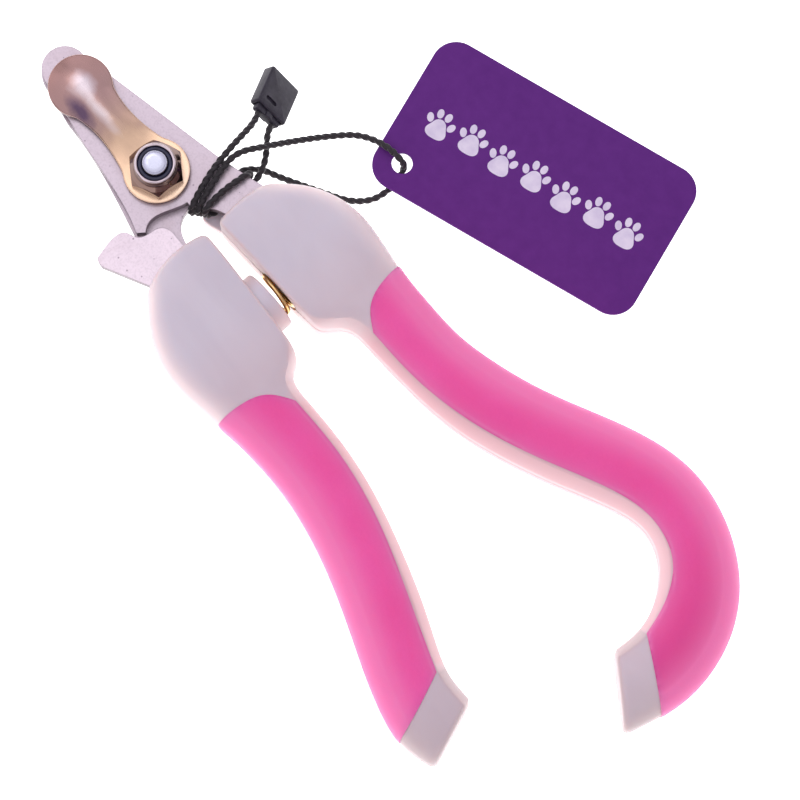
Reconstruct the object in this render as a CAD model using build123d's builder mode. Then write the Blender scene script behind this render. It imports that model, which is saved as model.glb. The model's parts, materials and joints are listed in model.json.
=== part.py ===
"""Scissor nail clipper for pets: two pivoted blades, a swinging nail guard, a latch, a return
spring, two shell handles with soft grips, and a hang tag on a cord with a seal.

Plan outlines are drawn about the pivot's axis. X runs along the length with the blades at -X,
the hooked handle is at +Y, and Z is up from the surface that the clipper lies on.
"""

from build123d import *
from math import cos, pi, radians, sin, sqrt, tan
import os

os.makedirs("parts", exist_ok=True)

# ---- driving dimensions, mm ----
PIVOT_X = -55.28
PIVOT_Y = 0.22
HANDLE_HEIGHT = 16.0
PARTING_HEIGHT = HANDLE_HEIGHT / 2
OUTER_ROUNDING = 5.0
INNER_ROUNDING = 1.2
GRIP_WALL = 2.4

BLADE_THICKNESS = 2.5
BLADE_FILM = 0.04
LOWER_BLADE_Z = PARTING_HEIGHT - BLADE_FILM / 2 - BLADE_THICKNESS
UPPER_BLADE_Z = PARTING_HEIGHT + BLADE_FILM / 2
UPPER_BLADE_TOP = UPPER_BLADE_Z + BLADE_THICKNESS
NOTCH_X = -22.2
NOTCH_RADIUS = 3.0
HEEL_RADIUS = 9.0

BOLT_RADIUS = 3.0
RUNNING_CLEARANCE = 0.05
HEX_ACROSS_FLATS = 10.0
HEAD_HEIGHT = 4.0
WASHER_THICKNESS = 0.8
WASHER_RADIUS = 6.2
FRICTION_WASHER_THICKNESS = 0.35
FRICTION_WASHER_RADIUS = 5.4
STACK_GAP = 0.03
GUARD_THICKNESS = 1.1
NUT_HEIGHT = 6.0
NUT_HEX_HEIGHT = 4.2
NUT_COLLAR_RADIUS = 4.3
NUT_COLLAR_ROUNDING = 0.5
NUT_TURN = 24.0
INSERT_HEIGHT = 1.6
INSERT_RADIUS = 3.5
INSERT_SINK = 0.2
BOLT_TOP = 19.0

GUARD_END_X = -22.2
GUARD_END_RADIUS = 6.3
GUARD_HUB_RADIUS = 6.5

RIVET_X = 21.0
RIVET_Y = -8.4
RIVET_RADIUS = 2.0
RIVET_HEAD_RADIUS = 3.2
RIVET_HEAD_HEIGHT = 0.9
LATCH_THICKNESS = 2.2
LATCH_SLOT_GAP = 0.1
LATCH_SLOT_PLAN = [(27.0, -4.0), (8.0, -4.0), (8.0, -30.0), (24.0, -30.0), (27.0, -16.0)]
LATCH_WASHER_RADIUS = 3.6
LATCH_WASHER_THICKNESS = 0.4
LATCH_WASHER_POCKET_RADIUS = 3.9

SPRING_X = 32.6
SPRING_WIRE = 1.0
SPRING_OUTER_RADIUS = 4.5
SPRING_SEAT_RADIUS = 4.8
SPRING_START_Y = -4.0
SPRING_END_Y = 8.0
SPRING_TURNS = 6
BOSS_RADIUS = 6.2
BOSS_FACE_Y = 0.2

LIP_PLAN = [(11.2, 0.9), (18.0, 2.6), (18.0, 7.0), (11.2, 7.0)]
LIP_Z = 1.8
LIP_HEIGHT = 3.5
LIP_ROUNDING = 0.8

DOWEL_RADIUS = 1.75
DOWEL_LENGTH = 9.0
STRAIGHT_DOWEL_PLACES = [(46, -13.0), (55, -13.9)]
HOOKED_DOWEL_PLACES = [(48, 14.4), (57, 14.4)]

TAG_LENGTH = 58.0
TAG_WIDTH = 32.5
TAG_THICKNESS = 0.8
TAG_CORNER = 5.0
TAG_TURN = 18.0
TAG_DROP = 0.035
TAG_HOLE_RADIUS = 2.05
TAG_HOLE_INSET = 5.6

CORD_DIAMETER = 1.2
SEAL_WIDTH = 8.0
SEAL_LENGTH = 10.4
SEAL_THICKNESS = 2.6
SEAL_PLUG_LENGTH = 1.4


def level(height):
    """The horizontal plane at a height, with its origin on the pivot's axis."""
    return Plane((PIVOT_X, PIVOT_Y, height))


def at(x, y, z):
    """A point given about the pivot's axis, in the part's own frame."""
    return (PIVOT_X + x, PIVOT_Y + y, z)


# ---- the whole form of each handle, grip included ----
# Each station is a pair of plan points, on the side facing the other handle and on the outside,
# and the height of the handle there.
STRAIGHT_STATIONS = [
    ((15.4, -1.1), (16.0, -17.0), 13.6), ((20, -1.3), (20, -20.2), 15.6), ((26, -1.7), (26, -23.4), 16.3),
    ((34, -2.3), (34, -24.8), 16.3), ((41.0, -2.9), (41.0, -24.2), 16.0), ((45.6, -5.2), (45.5, -23.6), 15.4),
    ((50.5, -7.6), (50, -23.0), 15.0), ((62, -8.1), (60, -22.9), 15.2), ((74, -10.0), (70.5, -24.4), 15.8),
    ((86, -13.5), (81, -27.4), 16.2), ((98, -18.0), (92.5, -31.9), 16.2), ((107, -21.8), (103, -36.0), 15.6),
    ((111.6, -22.6), (113.0, -38.0), 15.0), ((115.6, -22.6), (120.6, -36.4), 14.0),
]
HOOKED_STATIONS = [
    ((15.4, 1.6), (15.4, 14.6), 13.6), ((20, 1.7), (20, 19.2), 15.6), ((26, 1.9), (26, 22.7), 16.3),
    ((34, 2.0), (34, 24.0), 16.3), ((41.0, 2.2), (41.0, 23.1), 16.0), ((45.6, 4.8), (45.5, 22.4), 15.4),
    ((50.5, 7.5), (50, 22.0), 15.0), ((60, 7.7), (60, 21.9), 15.2), ((72, 8.7), (69, 23.3), 15.6),
    ((84, 11.8), (79, 26.3), 16.0), ((95, 16.2), (89.5, 30.9), 16.2), ((104, 20.4), (99.5, 35.2), 16.2),
    ((112.5, 22.9), (112.0, 37.6), 16.2), ((120.0, 20.3), (127.0, 33.6), 16.2),
    ((124.6, 14.6), (138.0, 23.3), 16.0), ((126.3, 8.8), (142.1, 8.5), 15.4),
    ((126.0, 3.4), (139.3, -6.0), 14.0),
]


def station_plane(inner, outer):
    """The upright plane through a station, with x pointing out of the handle."""
    middle = ((inner[0] + outer[0]) / 2, (inner[1] + outer[1]) / 2)
    across = Vector(outer[0] - inner[0], outer[1] - inner[1], 0).normalized()
    side = 1 if middle[1] > 0 else -1
    along = Vector(across.Y * side, -across.X * side, 0)
    return Plane(origin=at(*middle, PARTING_HEIGHT), x_dir=across, z_dir=along)


def handle_form(stations, inset=0):
    """A loft through the stations: well rounded outside and crisp on the side facing its partner."""
    with BuildPart() as form:
        for inner, outer, height in stations:
            width = sqrt((outer[0] - inner[0]) ** 2 + (outer[1] - inner[1]) ** 2)
            with BuildSketch(station_plane(inner, outer)) as section:
                Rectangle(width - 2 * inset, height - 2 * inset)
                fillet(section.vertices().sort_by(Axis.X)[:2], radius=max(INNER_ROUNDING - inset, 0.8))
                fillet(section.vertices().sort_by(Axis.X)[-2:], radius=max(OUTER_ROUNDING - inset, 0.8))
        loft()
        split(bisect_by=Plane.XY.offset(inset), keep=Keep.TOP)
        split(bisect_by=Plane.XY.offset(HANDLE_HEIGHT - inset), keep=Keep.BOTTOM)
    return form.part


# ---- where the soft grips lie ----
def straight_grip_plan():
    """The plan area that the straight handle's grip covers."""
    with BuildSketch(level(0)) as plan:
        with BuildLine():
            start = Spline(
                (44.6, -27), (45.0, -19.5), (47.0, -13.6), (51.5, -10.0),
                tangents=[(0.0, 1), (1, 0.35)],
            )
            rim = Spline(
                start @ 1, (64, -10.5), (80, -13.9), (96, -19.9), (107.5, -24.4),
                tangents=[(1, 0.2), (1, -0.4)],
            )
            finish = Spline(rim @ 1, (110.5, -32), (113.4, -42))
            Line(finish @ 1, (44.6, -42))
            Line((44.6, -42), start @ 0)
        make_face()
    return plan.sketch


def hooked_grip_plan():
    """The plan area that the hooked handle's grip covers."""
    with BuildSketch(level(0)) as plan:
        with BuildLine():
            start = Spline(
                (44.6, 27), (45.0, 19.0), (47.4, 12.6), (51.5, 9.6),
                tangents=[(0, -1), (1, -0.4)],
            )
            rim = Spline(
                start @ 1, (64, 9.8), (78, 12.4), (92, 17.7), (103, 22.7), (112.5, 25.0), (121.5, 22.3),
                (126.6, 14.8), (128.1, 9.7),
                tangents=[(1, -0.2), (0.2, -1)],
            )
            Line(rim @ 1, (147, -1.5))
            Line((147, -1.5), (147, 42))
            Line((147, 42), (44.6, 42))
            Line((44.6, 42), start @ 0)
        make_face()
    return plan.sketch


def grip_and_core(stations, grip_plan):
    """Splits a handle into the soft skin, which wraps round the core, and the hard core."""
    form = handle_form(stations)
    inside = handle_form(stations, GRIP_WALL)
    with BuildPart() as skin:
        add(form)
        extrude(grip_plan, amount=HANDLE_HEIGHT, mode=Mode.INTERSECT)
        add(inside, mode=Mode.SUBTRACT)
    with BuildPart() as core:
        add(form)
        add(skin.part, mode=Mode.SUBTRACT)
    return skin.part, core.part


# ---- blades ----
def nail_notch(opening_side):
    """A U-shaped notch that opens at one edge of a blade; +1 is the +Y edge."""
    with BuildSketch(level(0)) as plan:
        with Locations((NOTCH_X, opening_side * NOTCH_RADIUS)):
            Circle(NOTCH_RADIUS)
        with Locations((NOTCH_X, opening_side * (NOTCH_RADIUS + 5))):
            Rectangle(2 * NOTCH_RADIUS, 10)
    return plan.sketch


with BuildPart() as upper_blade:
    with BuildSketch(level(UPPER_BLADE_Z)):
        with BuildLine():
            tip = ThreePointArc((-26.4, 4.6), (-31.6, 0.1), (-26.8, -4.3))
            Line(tip @ 1, (-19.3, -5.7))
            belly = Spline((-19.3, -5.7), (-8, -7.6), (0, -8.9), (6.4, -10.8))
            Line(belly @ 1, (7.5, -9.4))
            crotch = Spline((7.5, -9.4), (6.3, -7.0), (7.0, -3.6), (8.3, 0.4))
            Line(crotch @ 1, (9.4, 0.4))
            under = Spline((9.4, 0.4), (11.2, 2.0), (12.8, 3.4), (15, 4.4), (24, 7.8), (40, 10.8), (60, 11.4))
            end = ThreePointArc(under @ 1, (63, 14.4), (60, 17.4))
            top = Spline(end @ 1, (40, 18.0), (24, 15.6), (13, 12.6))
            Line(top @ 1, (5, 10.6))
            Line((5, 10.6), (-19.5, 6.0))
            Line((-19.5, 6.0), tip @ 0)
        make_face()
        add(nail_notch(1), mode=Mode.SUBTRACT)
        Circle(BOLT_RADIUS + RUNNING_CLEARANCE, mode=Mode.SUBTRACT)
        with Locations(HOOKED_DOWEL_PLACES):
            Circle(DOWEL_RADIUS, mode=Mode.SUBTRACT)
    extrude(amount=BLADE_THICKNESS)
upper_blade.part.label = "upper_blade"
export_step(upper_blade.part, "parts/upper_blade.step")

with BuildPart() as lower_blade:
    with BuildSketch(level(LOWER_BLADE_Z)):
        with BuildLine():
            tip = ThreePointArc((-26.4, 4.4), (-31.4, 0.1), (-26.8, -4.7))
            Line(tip @ 1, (-19.3, -6.2))
            belly = Spline((-19.3, -6.2), (0, -9.5), (14, -13.0), (38, -14.8), (58, -17.0))
            end = ThreePointArc(belly @ 1, (60.8, -14.2), (58, -11.4))
            neck = Spline(end @ 1, (40, -9.2), (27, -5.8), (14.6, -5.0), (10.6, -3.4), (HEEL_RADIUS, 0))
            heel = ThreePointArc(neck @ 1, (6.6, 6.2), (-1.0, HEEL_RADIUS))
            Line(heel @ 1, (-19.5, 5.4))
            Line((-19.5, 5.4), tip @ 0)
        make_face()
        add(nail_notch(-1), mode=Mode.SUBTRACT)
        Circle(BOLT_RADIUS, mode=Mode.SUBTRACT)
        with Locations((RIVET_X, RIVET_Y)):
            Circle(RIVET_RADIUS, mode=Mode.SUBTRACT)
        with Locations(STRAIGHT_DOWEL_PLACES):
            Circle(DOWEL_RADIUS, mode=Mode.SUBTRACT)
    extrude(amount=BLADE_THICKNESS)
lower_blade.part.label = "lower_blade"
export_step(lower_blade.part, "parts/lower_blade.step")

# ---- pivot stack, from the floor up ----
WASHER_Z = LOWER_BLADE_Z - WASHER_THICKNESS
HEAD_Z = WASHER_Z - HEAD_HEIGHT
FRICTION_Z = UPPER_BLADE_TOP + STACK_GAP
GUARD_Z = FRICTION_Z + FRICTION_WASHER_THICKNESS + STACK_GAP
NUT_Z = GUARD_Z + GUARD_THICKNESS + STACK_GAP
NUT_TOP = NUT_Z + NUT_HEIGHT
INSERT_Z = NUT_TOP - INSERT_HEIGHT - INSERT_SINK

with BuildPart() as pivot_bolt:
    with BuildSketch(level(HEAD_Z)):
        RegularPolygon(HEX_ACROSS_FLATS / 2, 6, major_radius=False)
    extrude(amount=HEAD_HEIGHT)
    with BuildSketch(level(HEAD_Z)):
        Circle(BOLT_RADIUS)
    extrude(amount=BOLT_TOP - HEAD_Z)
    chamfer(pivot_bolt.edges().group_by(Axis.Z)[-1], length=0.6)
pivot_bolt.part.label = "pivot_bolt"
export_step(pivot_bolt.part, "parts/pivot_bolt.step")


def ring(height, outer_radius, inner_radius, thickness):
    """A flat ring about the pivot's axis."""
    with BuildPart() as made:
        with BuildSketch(level(height)):
            Circle(outer_radius)
            Circle(inner_radius, mode=Mode.SUBTRACT)
        extrude(amount=thickness)
    return made.part


head_washer = ring(WASHER_Z, WASHER_RADIUS, BOLT_RADIUS, WASHER_THICKNESS)
head_washer.label = "head_washer"
export_step(head_washer, "parts/head_washer.step")

friction_washer = ring(FRICTION_Z, FRICTION_WASHER_RADIUS, BOLT_RADIUS, FRICTION_WASHER_THICKNESS)
friction_washer.label = "friction_washer"
export_step(friction_washer, "parts/friction_washer.step")

with BuildPart() as lock_nut:
    with BuildSketch(level(NUT_Z)):
        RegularPolygon(HEX_ACROSS_FLATS / 2, 6, major_radius=False, rotation=NUT_TURN)
        Circle(BOLT_RADIUS, mode=Mode.SUBTRACT)
    extrude(amount=NUT_HEX_HEIGHT)
    with BuildSketch(level(NUT_Z + NUT_HEX_HEIGHT)):
        Circle(NUT_COLLAR_RADIUS)
        Circle(BOLT_RADIUS, mode=Mode.SUBTRACT)
    extrude(amount=NUT_HEIGHT - NUT_HEX_HEIGHT)
    fillet(lock_nut.edges().group_by(Axis.Z)[-1].sort_by(Edge.length)[-1], radius=NUT_COLLAR_ROUNDING)
    with BuildSketch(level(INSERT_Z)):
        Circle(INSERT_RADIUS)
    extrude(amount=INSERT_HEIGHT + INSERT_SINK, mode=Mode.SUBTRACT)
lock_nut.part.label = "lock_nut"
export_step(lock_nut.part, "parts/lock_nut.step")

nut_insert = ring(INSERT_Z, INSERT_RADIUS, BOLT_RADIUS, INSERT_HEIGHT)
nut_insert.label = "nut_insert"
export_step(nut_insert, "parts/nut_insert.step")

# ---- nail guard: a dog-bone lever that turns about the bolt ----
with BuildPart() as nail_guard:
    with BuildSketch(level(GUARD_Z)):
        Circle(GUARD_HUB_RADIUS)
        with Locations((GUARD_END_X, 0)):
            Circle(GUARD_END_RADIUS)
        with BuildLine():
            upper_side = Spline((-4.0, 5.1), (-11.5, 3.95), (-18.0, 4.7), tangents=[(-1, -0.75), (-1, 0.65)])
            Line(upper_side @ 1, (-18.0, -4.7))
            lower_side = Spline((-18.0, -4.7), (-11.5, -3.95), (-4.0, -5.1), tangents=[(1, 0.65), (1, -0.75)])
            Line(lower_side @ 1, upper_side @ 0)
        make_face()
        Circle(BOLT_RADIUS + RUNNING_CLEARANCE, mode=Mode.SUBTRACT)
    extrude(amount=GUARD_THICKNESS)
nail_guard.part.label = "nail_guard"
export_step(nail_guard.part, "parts/nail_guard.step")

# ---- latch: turns about a rivet in the straight bolster and hooks the upper blade's tooth ----
LATCH_Z = UPPER_BLADE_Z
with BuildPart() as lock_latch:
    with BuildSketch(level(LATCH_Z)):
        with BuildLine():
            hook = Spline(
                (8.2, -7.6), (7.9, -9.6), (6.9, -11.3), (4.9, -12.2), (4.1, -15.0), (4.9, -19.0),
                (6.8, -20.0),
                tangents=[(-0.1, -1), (1, -0.1)],
            )
            Line(hook @ 1, (20.0, -13.6))
            heel = ThreePointArc((20.0, -13.6), (25.4, -8.6), (21.6, -4.2))
            Line(heel @ 1, (14.4, -5.6))
            shoulder = Spline((14.4, -5.6), (9.9, -5.7), (8.2, -7.6), tangents=[(-1, -0.05), (-0.2, -1)])
        make_face()
        with Locations((RIVET_X, RIVET_Y)):
            Circle(RIVET_RADIUS + RUNNING_CLEARANCE, mode=Mode.SUBTRACT)
    extrude(amount=LATCH_THICKNESS)
lock_latch.part.label = "lock_latch"
export_step(lock_latch.part, "parts/lock_latch.step")

LATCH_TOP = LATCH_Z + LATCH_THICKNESS
LATCH_WASHER_Z = LATCH_TOP + STACK_GAP


def rivet_disc(height, radius):
    """A circle about the rivet's axis, to extrude."""
    with BuildSketch(Plane(at(RIVET_X, RIVET_Y, height))) as disc:
        Circle(radius)
    return disc.sketch


with BuildPart() as latch_washer:
    extrude(rivet_disc(LATCH_WASHER_Z, LATCH_WASHER_RADIUS), amount=LATCH_WASHER_THICKNESS)
    extrude(rivet_disc(LATCH_WASHER_Z, RIVET_RADIUS), amount=LATCH_WASHER_THICKNESS, mode=Mode.SUBTRACT)
latch_washer.part.label = "latch_washer"
export_step(latch_washer.part, "parts/latch_washer.step")

RIVET_BOTTOM = LOWER_BLADE_Z - RIVET_HEAD_HEIGHT
RIVET_TOP_HEAD_Z = LATCH_WASHER_Z + LATCH_WASHER_THICKNESS + STACK_GAP
with BuildPart() as latch_rivet:
    extrude(rivet_disc(RIVET_BOTTOM, RIVET_HEAD_RADIUS), amount=RIVET_HEAD_HEIGHT)
    extrude(rivet_disc(LOWER_BLADE_Z, RIVET_RADIUS), amount=RIVET_TOP_HEAD_Z - LOWER_BLADE_Z)
    extrude(rivet_disc(RIVET_TOP_HEAD_Z, RIVET_HEAD_RADIUS), amount=RIVET_HEAD_HEIGHT)
latch_rivet.part.label = "latch_rivet"
export_step(latch_rivet.part, "parts/latch_rivet.step")

# ---- return spring, seated between the bolsters ----
SPRING_RADIUS = SPRING_OUTER_RADIUS - SPRING_WIRE / 2
SPRING_CLIMB = SPRING_END_Y - SPRING_START_Y - SPRING_WIRE - 0.2
with BuildPart() as return_spring:
    with BuildLine() as coil:
        Helix(
            pitch=SPRING_CLIMB / SPRING_TURNS,
            height=SPRING_CLIMB,
            radius=SPRING_RADIUS,
            center=at(SPRING_X, SPRING_START_Y + SPRING_WIRE / 2 + 0.1, PARTING_HEIGHT),
            direction=(0, 1, 0),
        )
    with BuildSketch(Plane(coil.line @ 0, z_dir=coil.line % 0)):
        Circle(SPRING_WIRE / 2)
    sweep(path=coil.line)
return_spring.part.label = "return_spring"
export_step(return_spring.part, "parts/return_spring.step")


def spring_bore(start_y, length, radius):
    """A solid cylinder along the spring's axis."""
    start = Plane(origin=at(SPRING_X, start_y, PARTING_HEIGHT), x_dir=(1, 0, 0), z_dir=(0, 1, 0))
    with BuildPart() as bore:
        with BuildSketch(start):
            Circle(radius)
        extrude(amount=length)
    return bore.part


# ---- dowels that tie the tangs and shells together ----
def dowel_pair(places):
    """Two upright pins, half of each above the parting plane."""
    with BuildPart() as dowels:
        for x, y in places:
            with BuildSketch(Plane(at(x, y, PARTING_HEIGHT - DOWEL_LENGTH / 2))):
                Circle(DOWEL_RADIUS)
            extrude(amount=DOWEL_LENGTH)
    return dowels.part


straight_dowels = dowel_pair(STRAIGHT_DOWEL_PLACES)
straight_dowels.label = "straight_dowels"
export_step(straight_dowels, "parts/straight_dowels.step")

hooked_dowels = dowel_pair(HOOKED_DOWEL_PLACES)
hooked_dowels.label = "hooked_dowels"
export_step(hooked_dowels, "parts/hooked_dowels.step")

# ---- straight handle ----
straight_skin, straight_core = grip_and_core(STRAIGHT_STATIONS, straight_grip_plan())
straight_skin.label = "straight_grip"
export_step(straight_skin, "parts/straight_grip.step")

# the latch's slot: the plate in every place of its swing, with room round it
with BuildPart() as latch_slot:
    with BuildSketch(level(LATCH_Z - LATCH_SLOT_GAP)):
        with BuildLine():
            Polyline(*LATCH_SLOT_PLAN, close=True)
        make_face()
    extrude(amount=LATCH_THICKNESS + 2 * LATCH_SLOT_GAP)
    extrude(rivet_disc(LATCH_TOP, LATCH_WASHER_POCKET_RADIUS), amount=2.0)

with BuildPart() as straight_solid:
    add(straight_core)
    add(spring_bore(-4.6, BOSS_FACE_Y + 4.6, BOSS_RADIUS))
    add(spring_bore(SPRING_START_Y, 10, SPRING_SEAT_RADIUS), mode=Mode.SUBTRACT)
    add(straight_dowels, mode=Mode.SUBTRACT)

with BuildPart() as straight_top_shell:
    add(straight_solid.part)
    split(bisect_by=Plane.XY.offset(PARTING_HEIGHT), keep=Keep.TOP)
    add(latch_slot.part, mode=Mode.SUBTRACT)
straight_top_shell.part.label = "straight_top_shell"
export_step(straight_top_shell.part, "parts/straight_top_shell.step")

with BuildPart() as straight_bottom_shell:
    add(straight_solid.part)
    split(bisect_by=Plane.XY.offset(PARTING_HEIGHT), keep=Keep.BOTTOM)
    add(lower_blade.part, mode=Mode.SUBTRACT)
    extrude(rivet_disc(RIVET_BOTTOM, RIVET_HEAD_RADIUS), amount=RIVET_HEAD_HEIGHT, mode=Mode.SUBTRACT)
    extrude(rivet_disc(RIVET_BOTTOM, RIVET_RADIUS), amount=5, mode=Mode.SUBTRACT)
straight_bottom_shell.part.label = "straight_bottom_shell"
export_step(straight_bottom_shell.part, "parts/straight_bottom_shell.step")

# ---- hooked handle ----
hooked_skin, hooked_core = grip_and_core(HOOKED_STATIONS, hooked_grip_plan())
hooked_skin.label = "hooked_grip"
export_step(hooked_skin, "parts/hooked_grip.step")

with BuildPart() as hooked_solid:
    add(hooked_core)
    add(spring_bore(-2, SPRING_END_Y + 2, SPRING_SEAT_RADIUS), mode=Mode.SUBTRACT)
    add(hooked_dowels, mode=Mode.SUBTRACT)

with BuildPart() as hooked_top_shell:
    add(hooked_solid.part)
    split(bisect_by=Plane.XY.offset(PARTING_HEIGHT), keep=Keep.TOP)
    add(upper_blade.part, mode=Mode.SUBTRACT)
hooked_top_shell.part.label = "hooked_top_shell"
export_step(hooked_top_shell.part, "parts/hooked_top_shell.step")

# the lip that reaches forward under the tang
with BuildPart() as lip:
    with BuildSketch(level(LIP_Z)) as lip_plan:
        Polygon(*LIP_PLAN, align=None)
        fillet(lip_plan.vertices(), radius=LIP_ROUNDING)
    extrude(amount=LIP_HEIGHT)
    fillet(lip.edges().group_by(Axis.Z)[-1], radius=LIP_ROUNDING / 2)

with BuildPart() as hooked_bottom_shell:
    add(hooked_solid.part)
    split(bisect_by=Plane.XY.offset(PARTING_HEIGHT), keep=Keep.BOTTOM)
    add(lip.part)
hooked_bottom_shell.part.label = "hooked_bottom_shell"
export_step(hooked_bottom_shell.part, "parts/hooked_bottom_shell.step")

# ---- hang tag, leaning a little on the cord that passes under its hole ----
turn = radians(TAG_TURN)
TAG_PLANE = Plane(
    origin=at(47.5, 54.7, 1.5),
    x_dir=(cos(turn), sin(turn), -TAG_DROP),
    z_dir=(cos(turn) * TAG_DROP, sin(turn) * TAG_DROP, 1),
)
with BuildPart() as hang_tag:
    with BuildSketch(TAG_PLANE.offset(-TAG_THICKNESS / 2)):
        RectangleRounded(TAG_LENGTH, TAG_WIDTH, TAG_CORNER)
        with Locations((TAG_HOLE_INSET - TAG_LENGTH / 2, TAG_HOLE_INSET - TAG_WIDTH / 2)):
            Circle(TAG_HOLE_RADIUS, mode=Mode.SUBTRACT)
    extrude(amount=TAG_THICKNESS)
hang_tag.part.label = "hang_tag"
export_step(hang_tag.part, "parts/hang_tag.step")

# ---- seal that joins the cord's two ends; it leans with its far corner on the floor ----
SEAL_PLANE = Plane(origin=at(3.05, 26.8, 5.5), x_dir=(0.784, 0.1225, -0.615), z_dir=(0.446, 0.585, 0.686))
with BuildPart() as seal_body:
    with BuildSketch(SEAL_PLANE.offset(-SEAL_THICKNESS / 2)):
        with Locations((0, SEAL_PLUG_LENGTH / 2)):
            Rectangle(SEAL_WIDTH, SEAL_LENGTH - SEAL_PLUG_LENGTH)
    extrude(amount=SEAL_THICKNESS)
    fillet(seal_body.edges().group_by(SortBy.LENGTH)[-1], radius=0.4)
seal_body.part.label = "seal_body"
export_step(seal_body.part, "parts/seal_body.step")

with BuildPart() as seal_plug:
    with BuildSketch(SEAL_PLANE.offset(-SEAL_THICKNESS / 2 + 0.3)):
        with Locations((0, -SEAL_LENGTH / 2 + SEAL_PLUG_LENGTH / 2)):
            Rectangle(SEAL_WIDTH - 1.0, SEAL_PLUG_LENGTH)
    extrude(amount=SEAL_THICKNESS - 0.6)
seal_plug.part.label = "seal_plug"
export_step(seal_plug.part, "parts/seal_plug.step")

# ---- cord: from the seal over the tang, round its edge, to the tag and back ----
ROUTE = [
    (3.87, 22.33, 8.80), (4.88, 20.48, 9.72), (5.5, 17.2, 11.0), (6.1, 13.4, 12.1), (7.1, 7.6, 12.0),
    (9.85, -0.15, 11.9), (10.15, -0.1, 6.7), (10.3, 6.2, 6.3), (9.0, 12.6, 5.2), (11.4, 16.2, 3.2),
    (14.4, 17.9, 1.5), (17.7, 19.8, 0.9), (22.2, 22.3, 0.75), (27.0, 24.9, 0.8), (29.8, 28.2, 0.85),
    (30.5, 31.6, 0.9), (30.2, 34.6, 0.95), (29.3, 37.3, 1.1), (28.7, 37.4, 4.4), (25.1, 37.3, 4.3),
    (21.6, 36.4, 3.4), (18.3, 34.4, 2.8), (15.9, 31.3, 2.9), (13.6, 27.4, 4.3), (11.6, 23.2, 6.6),
    (9.8, 19.0, 9.2), (7.5, 13.8, 11.9), (8.1, 9.2, 12.1), (10.85, 0.75, 11.9), (11.15, 0.8, 6.7),
    (11.5, 6.6, 6.5), (11.9, 13.2, 6.6), (12.1, 13.2, 11.9), (11.4, 6.5, 11.95), (11.85, 1.6, 11.9),
    (12.15, 1.65, 6.7), (13.2, 6.4, 6.5), (13.3, 12.6, 6.3), (12.2, 16.2, 6.3), (9.9, 19.2, 6.8),
    (7.86, 20.94, 7.37), (6.85, 22.79, 6.45),
]


def corner_radii(points):
    """The largest arc that each corner's two runs allow, with a tenth of the run kept straight."""
    radii = []
    for before, corner, after in zip(points, points[1:], points[2:]):
        into = Vector(*corner) - Vector(*before)
        out = Vector(*after) - Vector(*corner)
        half_turn = radians(into.get_angle(out)) / 2
        radii.append(0.45 * min(into.length, out.length) / tan(half_turn))
    return radii


CORD_RADII = corner_radii(ROUTE)
with BuildPart() as tag_cord:
    with BuildLine() as route:
        FilletPolyline(*[at(*point) for point in ROUTE], radius=CORD_RADII)
    with BuildSketch(Plane(route.line @ 0, z_dir=route.line % 0)):
        Circle(CORD_DIAMETER / 2)
    sweep(path=route.line)
tag_cord.part.label = "tag_cord"
export_step(tag_cord.part, "parts/tag_cord.step")

cord_length = sum(edge.length for edge in route.line.edges())
cord_section = pi * CORD_DIAMETER**2 / 4
print("cord radii", [round(radius, 1) for radius in CORD_RADII])
print("cord length", round(cord_length, 1), "volume", round(tag_cord.part.volume, 1))
print("section times length", round(cord_section * cord_length, 1))
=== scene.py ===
import json
from math import cos, pi, radians, sin

import bmesh
import bpy
import numpy as np
from mathutils import Matrix, Vector


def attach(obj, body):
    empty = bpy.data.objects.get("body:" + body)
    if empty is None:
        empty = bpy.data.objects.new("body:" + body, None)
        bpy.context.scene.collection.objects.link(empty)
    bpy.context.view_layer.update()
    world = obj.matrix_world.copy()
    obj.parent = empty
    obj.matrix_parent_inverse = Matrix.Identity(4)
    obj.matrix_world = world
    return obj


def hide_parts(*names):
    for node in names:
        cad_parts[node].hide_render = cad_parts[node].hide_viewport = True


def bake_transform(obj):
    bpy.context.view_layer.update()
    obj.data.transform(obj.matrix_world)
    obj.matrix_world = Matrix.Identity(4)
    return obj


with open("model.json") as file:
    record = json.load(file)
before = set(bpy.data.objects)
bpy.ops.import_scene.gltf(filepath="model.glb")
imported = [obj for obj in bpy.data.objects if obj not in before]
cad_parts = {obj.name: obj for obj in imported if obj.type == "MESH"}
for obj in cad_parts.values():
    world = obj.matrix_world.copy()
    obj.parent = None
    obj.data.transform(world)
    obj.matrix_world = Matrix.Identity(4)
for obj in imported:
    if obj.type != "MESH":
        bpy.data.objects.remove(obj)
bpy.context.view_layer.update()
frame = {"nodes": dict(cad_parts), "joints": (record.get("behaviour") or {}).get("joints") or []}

MM = 0.001
JOINTS = {joint["name"]: joint for joint in frame["joints"]}
PIVOT = Vector(JOINTS["blade_pivot"]["pos_m"])
# Heights in mm: the plane where the shells part, and the most that a handle has.
MIDDLE_Z = 8.0
HANDLE_HEIGHT = 16.0
# The spring's axis runs along Y, this far from the pivot.
SPRING_X = 32.6
SPRING_BORE = 4.8
# Cutters end here, clear of every piece.
BELOW_ALL = -10
ABOVE_ALL = 30


def place(x, y, z):
    """A point in the frame from millimetres about the pivot's axis, with z from the floor."""
    return Vector((PIVOT.x + x * MM, PIVOT.y + y * MM, z * MM))


# ---- camera
VIEW_TURN = radians(48.3)
VIEW_TILT = radians(10.0)
CAMERA_DISTANCE = 0.8
CAMERA_LENS = 189.5
LOOKS_AT = place(63.637, 5.537, MIDDLE_Z)


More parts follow.
